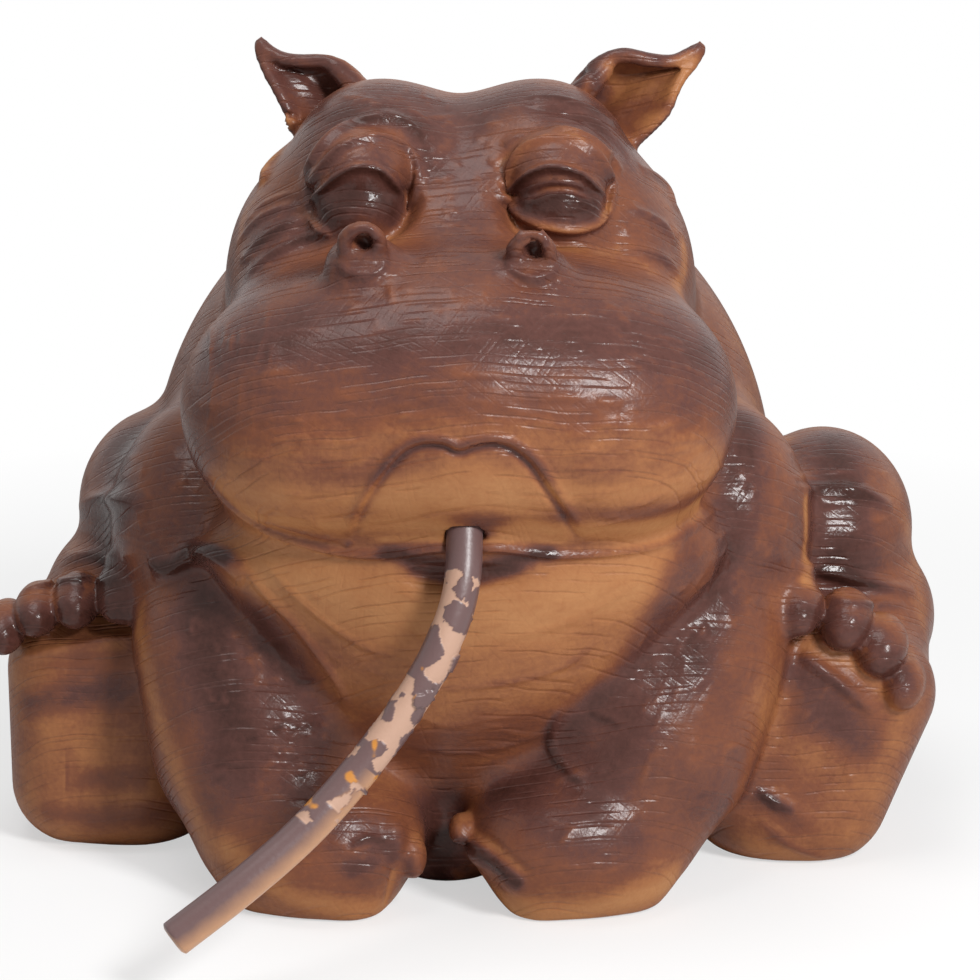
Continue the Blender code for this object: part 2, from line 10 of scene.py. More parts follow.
import logging
import math
import random
from dataclasses import dataclass, field
from enum import Enum

import bpy
import numpy as np
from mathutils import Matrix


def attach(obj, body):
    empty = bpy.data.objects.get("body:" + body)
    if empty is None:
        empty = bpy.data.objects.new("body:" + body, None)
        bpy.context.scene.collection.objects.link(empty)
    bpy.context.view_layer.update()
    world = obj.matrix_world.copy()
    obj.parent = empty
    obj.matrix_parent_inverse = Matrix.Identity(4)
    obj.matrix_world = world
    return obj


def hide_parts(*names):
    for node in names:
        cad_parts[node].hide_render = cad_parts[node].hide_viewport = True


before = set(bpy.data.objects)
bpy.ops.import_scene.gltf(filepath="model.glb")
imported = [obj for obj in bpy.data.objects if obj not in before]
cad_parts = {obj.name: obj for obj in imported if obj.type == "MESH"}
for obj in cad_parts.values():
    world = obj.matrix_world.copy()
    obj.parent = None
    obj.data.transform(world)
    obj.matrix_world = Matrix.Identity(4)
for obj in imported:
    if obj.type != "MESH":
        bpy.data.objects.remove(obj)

import openvdb
from mathutils import Euler, Vector
from mathutils.bvhtree import BVHTree

MM = 0.001

# The size of a noise table, and the headings in degrees between level, slanted and steep scratches.
TABLE = (32, 32, 32)
LEVEL_BELOW = 22.0
STEEP_ABOVE = 58.0

log = logging.getLogger("hippopotamus")

Point = tuple[float, ...]
Path = tuple[Point, ...]


class Mask(Enum):
    """What is painted on a piece, each as one value for each of its points."""

    TONE = "tone"
    LEVEL = "level_scratches"
    SLANTED = "slanted_scratches"
    STEEP = "steep_scratches"
    BARE = "bare"
    SPECK = "speck"


@dataclass(frozen=True)
class Lump:
    """One lump of clay.

    It has a middle, half sizes, a turn in degrees, and the width of the fillet that joins it to the rest.
    It is an ellipsoid, or a box where it has a corner radius. A hollow one is taken out of the clay.
    """

    centre: Point
    radii: Point
    turn: Point = (0.0, 0.0, 0.0)
    blend: float = 6.0
    corner: float = 0.0
    hollow: bool = False


@dataclass(frozen=True)
class Line:
    """A line carved into the skin, drawn in the front view, or raised where depth is negative.

    Its stain is the paint that gathers in it: darker above zero, and paler below.
    """

    path: Path
    width: float
    depth: float
    stain: float = 0.0
    open_ends: bool = True

    def fade(self, place: np.ndarray) -> np.ndarray | float:
        """How strong it is at places from 0 to 1 along it: open ends fade out."""
        return np.sqrt(np.clip(np.sin(np.pi * place), 0.0, 1.0)) if self.open_ends else 1.0


@dataclass(frozen=True)
class Hatching:
    """Tool strokes and finer scratches that fill an area of the front view.

    The heading and how far single strokes wander from it are in degrees, 0 across the view and 90 up it. The
    bow is a share of a stroke's length.
    """

    area: Path
    heading: float
    count: int
    length: float
    depth: float
    wander: float = 8.0
    stain: float = 0.06
    width: float = 0.8
    bow: float = 0.06
    soft_edge: float = 26.0

    def mask(self) -> Mask:
        """Which way its fine scratches run."""
        lean = abs(self.heading) % 180.0
        if lean < LEVEL_BELOW:
            return Mask.LEVEL
        return Mask.STEEP if lean > STEEP_ABOVE else Mask.SLANTED


@dataclass(frozen=True)
class Spray:
    """A pass of the airbrush along a path of the front view, to a tone between ochre (0) and dark (1). A few
    passes lay painted shade into recesses rather than paint that the statue has.
    """

    path: Path
    radius: float
    tone: float
    strength: float = 0.8


def ease(share: np.ndarray) -> np.ndarray:
    """Shares from 0 to 1, bent so that they leave both ends softly."""
    return share * share * (3.0 - 2.0 * share)


def cover(area: Path, soft_edge: float, across: np.ndarray, down: np.ndarray) -> np.ndarray:
    """How far each place of the front view lies inside an area.

    Args:
        area: The area's corners in order.
        soft_edge: Width of its soft edge.
        across: Places across the view.
        down: Places down the view.

    Returns:
        1 well inside, and 0 outside beyond the soft edge.
    """
    sides = list(zip(area, area[1:] + area[:1]))
    spin = math.copysign(1.0, sum(x1 * y2 - x2 * y1 for (x1, y1), (x2, y2) in sides))
    depth = np.full(len(across), np.inf)
    for (x1, y1), (x2, y2) in sides:
        edge = (x2 - x1) * (down - y1) - (y2 - y1) * (across - x1)
        depth = np.minimum(depth, spin * edge / math.hypot(x2 - x1, y2 - y1))
    return ease(np.clip(depth / soft_edge + 0.5, 0.0, 1.0))


def read_between(table: np.ndarray, cell: np.ndarray, share: np.ndarray) -> np.ndarray:
    """Reads a table of three directions between its entries, and as if it repeated past its ends.

    Args:
        table: The table.
        cell: The entry below each place, one place a row.
        share: How far past that entry each place lies, from 0 to 1.

    Returns:
        One value for each place.
    """
    value = np.zeros(len(cell))
    for corner in np.ndindex(2, 2, 2):
        weight = np.prod(np.where(np.array(corner), share, 1.0 - share), axis=1)
        at = (cell + corner) % table.shape
        value += weight * table[at[:, 0], at[:, 1], at[:, 2]]
    return value


def put_in_scene(name: str, data: bpy.types.ID) -> bpy.types.Object:
    """Makes an object of the data that it is given, and puts it in the scene."""
    thing = bpy.data.objects.new(name, data)
    bpy.context.scene.collection.objects.link(thing)
    return thing


def smooth_union(first: np.ndarray, second: np.ndarray, blend: float) -> np.ndarray:
    """The distance to two joined shapes, with a fillet about as wide as blend.

    Args:
        first: Distances to one shape.
        second: Distances to the other.
        blend: Width of the fillet.

    Returns:
        Distances to both as one shape.
    """
    overlap = np.maximum(blend - np.abs(first - second), 0.0) / blend
    return np.minimum(first, second) - overlap * overlap * blend / 4.0


def smooth_path(points: Path, steps: int = 6) -> np.ndarray:
    """Points along a smooth curve through the given ones.

    Args:
        points: The points that the curve passes.
        steps: Steps between one given point and the next.

    Returns:
        The points of the curve, one a row.
    """
    knots = [np.array(point, float) for point in points]
    knots = [2 * knots[0] - knots[1]] + knots + [2 * knots[-1] - knots[-2]]
    made = []
    for before, start, end, after in zip(knots, knots[1:], knots[2:], knots[3:]):
        for t in np.arange(steps) / steps:
            square = 2 * before - 5 * start + 4 * end - after
            cube = 3 * start - before - 3 * end + after
            made.append(0.5 * (2 * start + (end - before) * t + square * t * t + cube * t**3))
    made.append(knots[-2])
    return np.array(made)


@dataclass(frozen=True)
class FrontView:
    """The camera that the statue is seen by, and the front view that lines and sprays are drawn in."""

    elevation: float = 14.0
    target: Point = (6.6, 0.0, 77.0)
    distance: float = 700.0
    focal: float = 2979.0
    size: float = 980.0
    sensor: float = 36.0

    def heading(self) -> Vector:
        """The way the camera looks."""
        slope = math.radians(self.elevation)
        return Vector((0.0, math.cos(slope), -math.sin(slope)))

    def eye(self) -> Vector:
        """Where the camera stands, in millimetres."""
        return Vector(self.target) - self.heading() * self.distance

    def ray(self, across: float, down: float) -> Vector:
        """The way from the camera through a place of the view.

        Args:
            across: Place from the view's left edge.
            down: Place from the view's top edge.

        Returns:
            The direction, one unit long.
        """
        ahead = self.heading()
        right = Vector((1.0, 0.0, 0.0))
        up = right.cross(ahead)
        half = self.size / 2
        return (ahead * self.focal + right * (across - half) - up * (down - half)).normalized()

    def places(self, points: np.ndarray) -> tuple[np.ndarray, np.ndarray]:
        """Where points show in the view.

        Args:
            points: The points, one a row.

        Returns:
            Their places across and down.
        """
        ahead = np.array(self.heading())
        right = np.array((1.0, 0.0, 0.0))
        up = np.cross(right, ahead)
        steps = points - np.array(self.eye())
        scale = self.focal / (steps @ ahead)
        return self.size / 2 + steps @ right * scale, self.size / 2 - steps @ up * scale

    def make_camera(self) -> None:
        """Puts the camera in the scene."""
        camera = put_in_scene("camera", bpy.data.cameras.new("camera"))
        camera.data.sensor_width = self.sensor
        camera.data.lens = self.sensor * self.focal / self.size
        camera.location = self.eye() * MM
        camera.rotation_euler = self.heading().to_track_quat("-Z", "Y").to_euler()
        bpy.context.scene.camera = camera


VIEW = FrontView()


class Clay:
    """A block of space on a grid. Each sample holds its distance to the clay's surface, negative inside."""

    EMPTY = 50.0
    MARGIN = 6.0
    RECESS_GAIN = 2.5

    def __init__(self, lumps: list[Lump], step: float) -> None:
        """Makes room for the lumps that are going to be added.

        Args:
            lumps: The lumps that reach furthest.
            step: Distance between samples.
        """
        self.step = step
        reach = [max(lump.radii) + self.MARGIN for lump in lumps]
        low = np.min([np.array(lump.centre) - r for lump, r in zip(lumps, reach)], 0)
        high = np.max([np.array(lump.centre) + r for lump, r in zip(lumps, reach)], 0)
        low[2] = -self.MARGIN
        first = np.floor(low / step)
        last = np.ceil(high / step) + 1
        self.axes = [(np.arange(a, b) * step).astype(np.float32) for a, b in zip(first, last)]
        self.samples = np.full([len(axis) for axis in self.axes], self.EMPTY, np.float32)

    def window(self, low: np.ndarray, high: np.ndarray) -> tuple[tuple, tuple]:
        """The part of the grid between two corners.

        Args:
            low: Lowest corner.
            high: Highest corner.

        Returns:
            The slices of the grid, and the coordinates there ready to broadcast.
        """
        ends = [np.searchsorted(axis, (a, b)) for axis, a, b in zip(self.axes, low, high)]
        slices = tuple(slice(a, b) for a, b in ends)
        x, y, z = (axis[cut] for axis, cut in zip(self.axes, slices))
        return slices, (x[:, None, None], y[None, :, None], z[None, None, :])

    def work(self, lump: Lump) -> None:
        """Joins a lump to the clay, or takes a hollow one out of it."""
        slices, distance = self.lump_distance(lump)
        self.merge(slices, distance, lump.blend, lump.hollow)

    def merge(self, slices: tuple, distance: np.ndarray, blend: float, hollow: bool = False) -> None:
        """Joins a shape to the clay, or takes it out.

        Args:
            slices: The grid window that the shape lies in.
            distance: Distances to the shape there.
            blend: Width of the fillet.
            hollow: True to take the shape out.
        """
        here = self.samples[slices]
        if hollow:
            self.samples[slices] = -smooth_union(-here, distance, blend)
        else:
            self.samples[slices] = smooth_union(here, distance, blend)

    def lump_distance(self, lump: Lump) -> tuple[tuple, np.ndarray]:
        """Measures the clay round a lump.

        Args:
            lump: The lump.

        Returns:
            The grid window round it, and each sample's distance to it.
        """
        centre = np.array(lump.centre)
        reach = 1.5 * max(lump.radii) + lump.blend + 3 * self.step
        slices, (x, y, z) = self.window(centre - reach, centre + reach)
        turn = np.array(Euler([math.radians(angle) for angle in lump.turn]).to_matrix())
        x, y, z = (a - np.float32(c) for a, c in zip((x, y, z), centre))
        along = [axis[0] * x + axis[1] * y + axis[2] * z for axis in turn.T.astype(np.float32)]
        if lump.corner:
            past = [np.abs(a) - (radius - lump.corner) for a, radius in zip(along, lump.radii)]
            outside = np.sqrt(sum(np.maximum(p, 0.0) ** 2 for p in past))
            inside = np.minimum(np.maximum.reduce(past), 0.0)
            return slices, outside + inside - lump.corner
        near = np.sqrt(sum((a / radius) ** 2 for a, radius in zip(along, lump.radii)))
        far = np.sqrt(sum((a / radius**2) ** 2 for a, radius in zip(along, lump.radii))) + 1e-6
        return slices, near * (near - 1.0) / far

    def add_sheet(self, points: list, faces: list, thickness: float, blend: float) -> None:
        """Joins a thin sheet to the clay.

        Args:
            points: Points of the sheet's middle surface.
            faces: Its faces, as numbers of points.
            thickness: How thick it is.
            blend: Width of the fillet.
        """
        tree = BVHTree.FromPolygons(points, faces)
        reach = thickness + blend + 2 * self.step
        slices, (x, y, z) = self.window(np.min(points, 0) - reach, np.max(points, 0) + reach)
        distance = np.full((x.size, y.size, z.size), self.EMPTY, np.float32)
        for place in np.ndindex(distance.shape):
            sample = (x.flat[place[0]], y.flat[place[1]], z.flat[place[2]])
            found = tree.find_nearest(sample, reach)[3]
            if found is not None:
                distance[place] = found - thickness / 2
        self.merge(slices, distance, blend)

    def add_roll(self, path: np.ndarray, radii: np.ndarray, blend: float, hollow: bool = False) -> None:
        """Joins a round roll along a path to the clay, or bores it out.

        Args:
            path: The roll's middle line.
            radii: Its radius at each point of the path.
            blend: Width of the fillet.
            hollow: True to bore.
        """
        reach = max(radii) + blend + 3 * self.step
        slices, (x, y, z) = self.window(path.min(0) - reach, path.max(0) + reach)
        distance = np.full(np.broadcast_shapes(x.shape, y.shape, z.shape), self.EMPTY, np.float32)
        for start, end, first, last in zip(path, path[1:], radii, radii[1:]):
            side = end - start
            dx, dy, dz = x - start[0], y - start[1], z - start[2]
            along = np.clip((dx * side[0] + dy * side[1] + dz * side[2]) / (side @ side), 0, 1)
            gap = (dx - along * side[0]) ** 2 + (dy - along * side[1]) ** 2 + (dz - along * side[2]) ** 2
            distance = np.minimum(distance, np.sqrt(gap) - first - (last - first) * along)
        self.merge(slices, distance, blend, hollow)

    def flatten_below(self, height: float) -> None:
        """Cuts the clay off flat at a height."""
        self.samples = np.maximum(self.samples, height - self.axes[2][None, None, :])

    def hollowness(self, points: np.ndarray, reach: float) -> np.ndarray:
        """How far each point lies in a recess of the clay.

        Args:
            points: The points, on the clay's surface.
            reach: Size of the recesses that count.

        Returns:
            About 1 deep in a recess, 0 on a flat and below 0 on a bulge.
        """
        field_near = np.clip(self.samples, -reach, reach)
        cells = max(int(round(reach / self.step)), 1)
        for axis in range(3):
            pad = [(0, 0)] * 3
            pad[axis] = (cells + 1, cells)
            total = np.cumsum(np.pad(field_near, pad, mode="edge"), axis=axis, dtype=np.float64)
            count = field_near.shape[axis]
            above = np.take(total, np.arange(2 * cells + 1, 2 * cells + 1 + count), axis=axis)
            below = np.take(total, np.arange(count), axis=axis)
            field_near = ((above - below) / (2 * cells + 1)).astype(np.float32)
        low = np.array([axis[0] for axis in self.axes])
        place = np.clip((points - low) / self.step, 0, np.array(self.samples.shape) - 1.001)
        cell = place.astype(int)
        return -read_between(field_near, cell, place - cell) / reach * self.RECESS_GAIN

    def skin(self, name: str) -> bpy.types.Object:
        """Meshes the clay's surface.

        Args:
            name: Name of the object.

        Returns:
            The object, in metres, in the scene.
        """
        grid = openvdb.FloatGrid(self.EMPTY)
        grid.copyFromArray(self.samples)
        points, _, quads = grid.convertToPolygons(isovalue=0.0, adaptivity=0.0)
        low = np.array([axis[0] for axis in self.axes])
        mesh = bpy.data.meshes.new(name)
        mesh.from_pydata((points * self.step + low) * MM, [], quads[:, ::-1].tolist())
        mesh.validate()
        return put_in_scene(name, mesh)


class Skin:
    """The surface of a mesh, which lines are carved into and paint is sprayed on.

    CARVED and STAINED hold how many line widths a line reaches to each side, and which share of the distance
    off the surface doesn't count. STAIN_WIDTH is in line widths. A rubbed line shows pale where the paint is
    darker than RUBBED_TONE.
    """

    CARVED = (2.6, 0.85)
    STAINED = (2.2, 0.5)
    STAIN_WIDTH = 0.8
    RUBBED_TONE = 0.45
    RUBBED_GAIN = 6.0

    def __init__(self, thing: bpy.types.Object) -> None:
        """Reads an object's surface.

        Args:
            thing: A mesh object at the origin, in metres.
        """
        self.thing = thing
        self.tree = BVHTree.FromObject(thing, bpy.context.evaluated_depsgraph_get())
        self.points = np.empty(len(thing.data.vertices) * 3, np.float32)
        thing.data.vertices.foreach_get("co", self.points)
        self.points = self.points.reshape(-1, 3) / MM
        self.order = np.argsort(self.points[:, 0])
        self.sorted_across = self.points[self.order, 0]
        self.read_normals()

    def read_normals(self) -> None:
        """Takes the way that the surface faces from the mesh."""
        self.normals = np.empty(len(self.points) * 3, np.float32)
        self.thing.data.vertex_normals.foreach_get("vector", self.normals)
        self.normals = self.normals.reshape(-1, 3)

    def meet(self, across: float, down: float) -> tuple[np.ndarray, np.ndarray] | None:
        """Finds what a place of the front view shows.

        Args:
            across: Place from the view's left edge.
            down: Place from the view's top edge.

        Returns:
            The point of the surface and the way it faces, or None off the statue.
        """
        place, facing, _, _ = self.tree.ray_cast(VIEW.eye() * MM, VIEW.ray(across, down))
        if place is None:
            return None
        return np.array(place) / MM, np.array(facing)

    def trace(self, path: Path, steps: int) -> tuple[np.ndarray, np.ndarray] | None:
        """Lays a path of the front view on the surface.

        Args:
            path: The path.
            steps: Steps between one given point and the next.

        Returns:
            Its points and the ways the surface faces there, or None if it misses.
        """
        line = smooth_path(path, steps) if len(path) > 1 else np.array(path * 2, float)
        met = [found for found in (self.meet(*place) for place in line) if found is not None]
        if len(met) < 2:
            return None
        return np.array([place for place, _ in met]), np.array([facing for _, facing in met])

    def near(self, path: np.ndarray, facings: np.ndarray, reach: float, flat: float) -> tuple:
        """Finds the points of the surface round a path on it.

        Args:
            path: Points of the path.
            facings: The way the surface faces at each.
            reach: How far round the path to look.
            flat: Share of the distance off the surface that doesn't count, from 0 to 1.

        Returns:
            Their numbers, their squared distances to the path, and their places along it from 0 to 1.
        """
        low, high = path.min(0) - reach, path.max(0) + reach
        ends = np.searchsorted(self.sorted_across, (low[0], high[0]))
        found = self.order[ends[0] : ends[1]]
        here = self.points[found]
        boxed = np.all((here[:, 1:] > low[1:]) & (here[:, 1:] < high[1:]), axis=1)
        found, here = found[boxed], here[boxed]
        nearest = np.full(len(found), np.inf)
        place = np.zeros(len(found))
        toward = np.zeros(len(found))
        for number, (start, end) in enumerate(zip(path, path[1:])):
            side = end - start
            offset = here - start
            along = np.clip(offset @ side / (side @ side + 1e-9), 0.0, 1.0)
            offset -= along[:, None] * side
            gap = (offset**2).sum(1) - flat * (offset @ facings[number]) ** 2
            closer = gap < nearest
            nearest[closer] = gap[closer]
            place[closer] = (number + along[closer]) / (len(path) - 1)
            toward[closer] = self.normals[found[closer]] @ facings[number]
        keep = (nearest < reach**2) & (toward > 0.0)
        return found[keep], nearest[keep], place[keep]

    def carve(self, line: Line, steps: int = 5) -> None:
        """Carves a line into the surface.

        Args:
            line: The line.
            steps: Steps between its given points.
        """
        traced = self.trace(line.path, steps)
        if traced is None:
            return
        reach, flat = self.CARVED
        found, gap, place = self.near(*traced, reach * line.width, flat)
        sink = line.depth * line.fade(place) * np.exp(-gap / line.width**2)
        self.points[found] -= self.normals[found] * sink[:, None]

    def settle(self) -> None:
        """Gives the mesh its carved points."""
        self.thing.data.vertices.foreach_set("co", (self.points * MM).astype(np.float32).ravel())
        self.thing.data.update()
        self.read_normals()
        self.tree = BVHTree.FromObject(self.thing, bpy.context.evaluated_depsgraph_get())

    def spray(self, values: np.ndarray, spray: Spray) -> None:
        """Takes values towards a spray's tone.

        Args:
            values: One value for each point, changed in place.
            spray: The pass of the airbrush.
        """
        traced = self.trace(spray.path, 4)
        if traced is None:
            return
        found, gap, _ = self.near(*traced, spray.radius, 0.0)
        weight = spray.strength * ease(1.0 - np.sqrt(gap) / spray.radius)
        values[found] += (spray.tone - values[found]) * weight

    def stain(self, values: np.ndarray, line: Line, rubbed: bool = False) -> None:
        """Lets paint gather in a carved line.

        Args:
            values: One value for each point, changed in place.
            line: The line.
            rubbed: True for a line that dark paint is rubbed off, so that it shows pale there.
        """
        traced = self.trace(line.path, 4)
        if traced is None or not line.stain:
            return
        reach, flat = self.STAINED
        found, gap, place = self.near(*traced, reach * line.width, flat)
        toward = 1.0
        if rubbed:
            toward = np.clip(self.RUBBED_GAIN * (self.RUBBED_TONE - values[found]), -1.6, 2.0)
        spread = np.exp(-gap / (self.STAIN_WIDTH * line.width) ** 2)
        values[found] += line.stain * toward * line.fade(place) * spread

    def keep(self, mask: Mask, values: np.ndarray) -> None:
        """Stores values on the mesh.

        Args:
            mask: What they are.
            values: One for each point.
        """
        made = self.thing.data.attributes.new(mask.value, "FLOAT", "POINT")
        made.data.foreach_set("value", np.clip(values, 0.0, 1.0).astype(np.float32))


def strokes(hatching: Hatching, seed: int) -> list[Line]:
    """Draws the strokes of a hatched area.

    Args:
        hatching: The area and its strokes.
        seed: Start of the random draws.

    Returns:
        The strokes as lines.
    """
    draw = random.Random(seed)
    xs, ys = [p[0] for p in hatching.area], [p[1] for p in hatching.area]
    made: list[Line] = []
    tries = 0
    while len(made) < hatching.count and tries < 40 * hatching.count:
        tries += 1
        x, y = draw.uniform(min(xs), max(xs)), draw.uniform(min(ys), max(ys))
        if not inside(hatching.area, x, y):
            continue
        angle = math.radians(hatching.heading + draw.gauss(0.0, hatching.wander))
        half = hatching.length * draw.uniform(0.35, 1.0) / 2
        bow = hatching.bow * draw.uniform(-1.0, 1.0) * half
        dx, dy = math.cos(angle), -math.sin(angle)
        start, end = ((x + dx * way, y + dy * way) for way in (-half, half))
        path = (start, (x - dy * bow, y + dx * bow), end)
        strength = draw.uniform(0.4, 0.9)
        made.append(Line(path, hatching.width, hatching.depth * strength, hatching.stain * strength))
    return made


def inside(area: Path, x: float, y: float) -> bool:
    """Tells whether a place of the view lies in an area.

    Args:
        area: The area's corners in order.
        x: Place across the view.
        y: Place down the view.

    Returns:
        True if it does.
    """
    crossings = 0
    for (x1, y1), (x2, y2) in zip(area, area[1:] + area[:1]):
        if (y1 > y) != (y2 > y) and x < x1 + (y - y1) / (y2 - y1) * (x2 - x1):
            crossings += 1
    return crossings % 2 == 1


def offset(start: Point, *step: float) -> Point:
    """A point at a step from another."""
    return tuple(a + b for a, b in zip(start, step))


class BodyPart:
    """A part of the body, with the lines, sprays and tool strokes on its skin."""

    def lines(self) -> list[Line]:
        """Its lines, none unless a part has some."""
        return []

    def sprays(self) -> list[Spray]:
        """Its passes of the airbrush, none unless a part has some."""
        return []

    def hatchings(self) -> list[Hatching]:
        """Its hatched areas, none unless a part has some."""
        return []


@dataclass
class Torso(BodyPart):
    """The egg-shaped trunk and the thick throat in front of it."""

    middle: Point = (0.0, 14.0, 74.0)
    width: float = 148.0
    depth: float = 124.0
    height: float = 160.0

    def lumps(self) -> list[Lump]:
        """The trunk's clay."""
        half = (self.width / 2, self.depth / 2, self.height / 2)
        return [
            Lump(self.middle, half, blend=4),
            Lump(offset(self.middle, 0, 4, -44), (half[0] + 1, half[1] + 2, half[2] - 36), blend=14),
            Lump(offset(self.middle, 0, -60, -6), (43, 32, 40), blend=12),
            Lump(offset(self.middle, 0, -46, -36), (38, 31, 30), blend=12),
        ]

    def lines(self) -> list[Line]:
        """The folds of the throat."""
        return [
            Line(((232, 552), (262, 590), (300, 630), (335, 680), (350, 712)), 1.3, 0.8, 0.12),
            Line(((262, 560), (300, 600), (352, 640), (400, 660)), 1.0, 0.45, 0.1),
            Line(((500, 640), (560, 625), (610, 600), (650, 575)), 1.0, 0.35, 0.08),
            Line(((430, 690), (500, 684), (560, 668), (600, 640)), 1.0, 0.35, 0.1),
            Line(((400, 745), (460, 752), (520, 742), (560, 722)), 1.0, 0.3, 0.1),
        ]

    def sprays(self) -> list[Spray]:
        """An ochre throat that darkens towards the paws into painted shade on the belly between them, and
        russet flanks.
        """
        return [
            Spray(((270, 570), (380, 610), (470, 620), (560, 610), (650, 575)), 24, 0.08, 0.95),
            Spray(((350, 690), (470, 700), (590, 670)), 20, 0.28),
            Spray(((390, 755), (460, 765), (540, 745)), 12, 0.5),
            # painted shade: the belly between the paws is sprayed darkest, where shade falls between the
            # forelegs
            Spray(((420, 800), (450, 806)), 8, 0.75),
            Spray(((436, 830), (440, 880)), 12, 1.0, 1.0),
            Spray(((205, 320), (180, 370), (168, 420)), 14, 0.66, 0.7),
            Spray(((725, 320), (750, 370), (765, 430)), 10, 0.42, 0.7),
        ]

    def hatchings(self) -> list[Hatching]:
        """The fine wrinkles of the throat."""
        return [
            Hatching(((270, 575), (430, 600), (430, 690), (345, 690)), -28, 21, 40, 0.2),
            Hatching(((480, 590), (640, 580), (600, 690), (470, 720)), 12, 27, 44, 0.2),
            Hatching(((365, 700), (560, 700), (520, 790), (430, 795)), -4, 21, 46, 0.2),
        ]


@dataclass
class Head(BodyPart):
    """Skull, brows and cheeks."""

    middle: Point = (0.0, -15.0, 134.0)
    width: float = 100.0
    depth: float = 92.0
    height: float = 74.0
    brow_spacing: float = 36.0

    def lumps(self) -> list[Lump]:
        """The skull's clay."""
        made = [Lump(self.middle, (self.width / 2, self.depth / 2, self.height / 2), blend=12)]
        for side in (-1, 1):
            brow = offset(self.middle, side * self.brow_spacing / 2, -8, 24)
            made += [
                Lump(brow, (18.5, 26, 17.5), (0, side * 8, 0), 8),
                Lump(offset(self.middle, side * 37, -8, -2), (14, 30, 24), (0, side * -12, 0), 8),
            ]
        return made

    def lines(self) -> list[Line]:
        """Brow folds, cheek folds and the wrinkles round the eyes."""
        left_brow = ((303, 192), (310, 165), (328, 140), (352, 125), (378, 118), (402, 121), (422, 136))
        return [
            Line(left_brow, 1.7, 1.5, 0.25),
            Line(((553, 127), (572, 133), (592, 143), (608, 157), (622, 172)), 1.4, 1.6, -0.1),
            Line(((520, 108), (545, 108), (575, 114), (602, 130), (628, 158)), 1.9, -1.1, 0.1),
            Line(((528, 96), (560, 98), (590, 108), (618, 126)), 1.3, 0.6, 0.15),
            Line(((294, 118), (282, 140), (270, 165), (264, 182)), 1.9, 1.5, 0.2),
            Line(((290, 112), (280, 132), (268, 158), (258, 180)), 1.5, -0.8, -0.35),
            Line(((240, 262), (262, 240), (285, 226), (308, 218)), 1.2, 0.9, 0.15),
            Line(((236, 246), (252, 226), (272, 212), (300, 204)), 1.1, 0.8, 0.15),
            Line(((246, 276), (270, 256), (300, 240), (330, 232)), 1.2, 0.9, 0.15),
            Line(((243, 228), (262, 206), (285, 196), (304, 194)), 1.0, 0.6, 0.1),
            Line(((640, 168), (654, 176), (668, 190), (676, 210)), 1.5, 1.0, 0.1),
            Line(((625, 208), (645, 215), (664, 226), (676, 244)), 1.4, 0.9, 0.1),
            Line(((620, 250), (645, 252), (668, 262), (682, 282)), 1.4, 0.9, 0.1),
            Line(((514, 152), (503, 160), (498, 172)), 1.1, -0.7, -0.2),
            Line(((504, 146), (515, 138), (527, 134)), 1.0, 0.7, 0.1),
            Line(((496, 186), (503, 200), (514, 212)), 1.1, 0.7, 0.1),
        ]

    def sprays(self) -> list[Spray]:
        """Plum brown over the skull, darker at the left brow where the brow's shadow is painted in as shade,
        with ochre at the cheeks' edges.
        """
        return [
            Spray(((330, 110), (400, 95), (460, 110), (540, 95), (620, 130)), 20, 0.84, 0.9),
            Spray(((460, 130), (462, 240)), 16, 0.78, 0.9),
            Spray(((260, 250), (290, 230), (310, 220)), 13, 0.88, 0.9),
            Spray(((640, 190), (660, 240)), 11, 0.68),
            # painted shade: a dark band under the left brow stands in for the shadow that the brow casts
            Spray(((345, 112), (385, 108), (422, 128), (432, 170)), 6, 0.92, 0.85),
            Spray(((585, 140), (605, 152), (625, 172)), 4, 0.62, 0.7),
            Spray(((292, 120), (276, 150), (262, 182)), 3.5, 0.25),
            Spray(((244, 215), (238, 250), (236, 275)), 4, 0.3, 0.7),
            Spray(((684, 246), (684, 270), (676, 290)), 4, 0.25),
        ]

    def hatchings(self) -> list[Hatching]:
        """Tool strokes on the forehead, the nose bridge and the cheeks."""
        return [
            Hatching(((425, 112), (502, 112), (498, 240), (428, 240)), 0, 42, 20, 0.28),
            Hatching(((345, 95), (440, 95), (430, 140), (350, 118)), -8, 18, 26, 0.25),
            Hatching(((412, 130), (440, 130), (436, 200), (418, 200)), -35, 14, 18, 0.25),
            Hatching(((350, 84), (450, 90), (450, 108), (345, 104)), 82, 15, 14, 0.2),
            Hatching(((530, 86), (610, 98), (640, 135), (540, 108)), -14, 16, 24, 0.22),
            Hatching(((246, 214), (310, 196), (340, 236), (246, 276)), 28, 20, 30, 0.28),
            Hatching(((625, 180), (678, 190), (684, 270), (620, 250)), -40, 18, 18, 0.25),
        ]


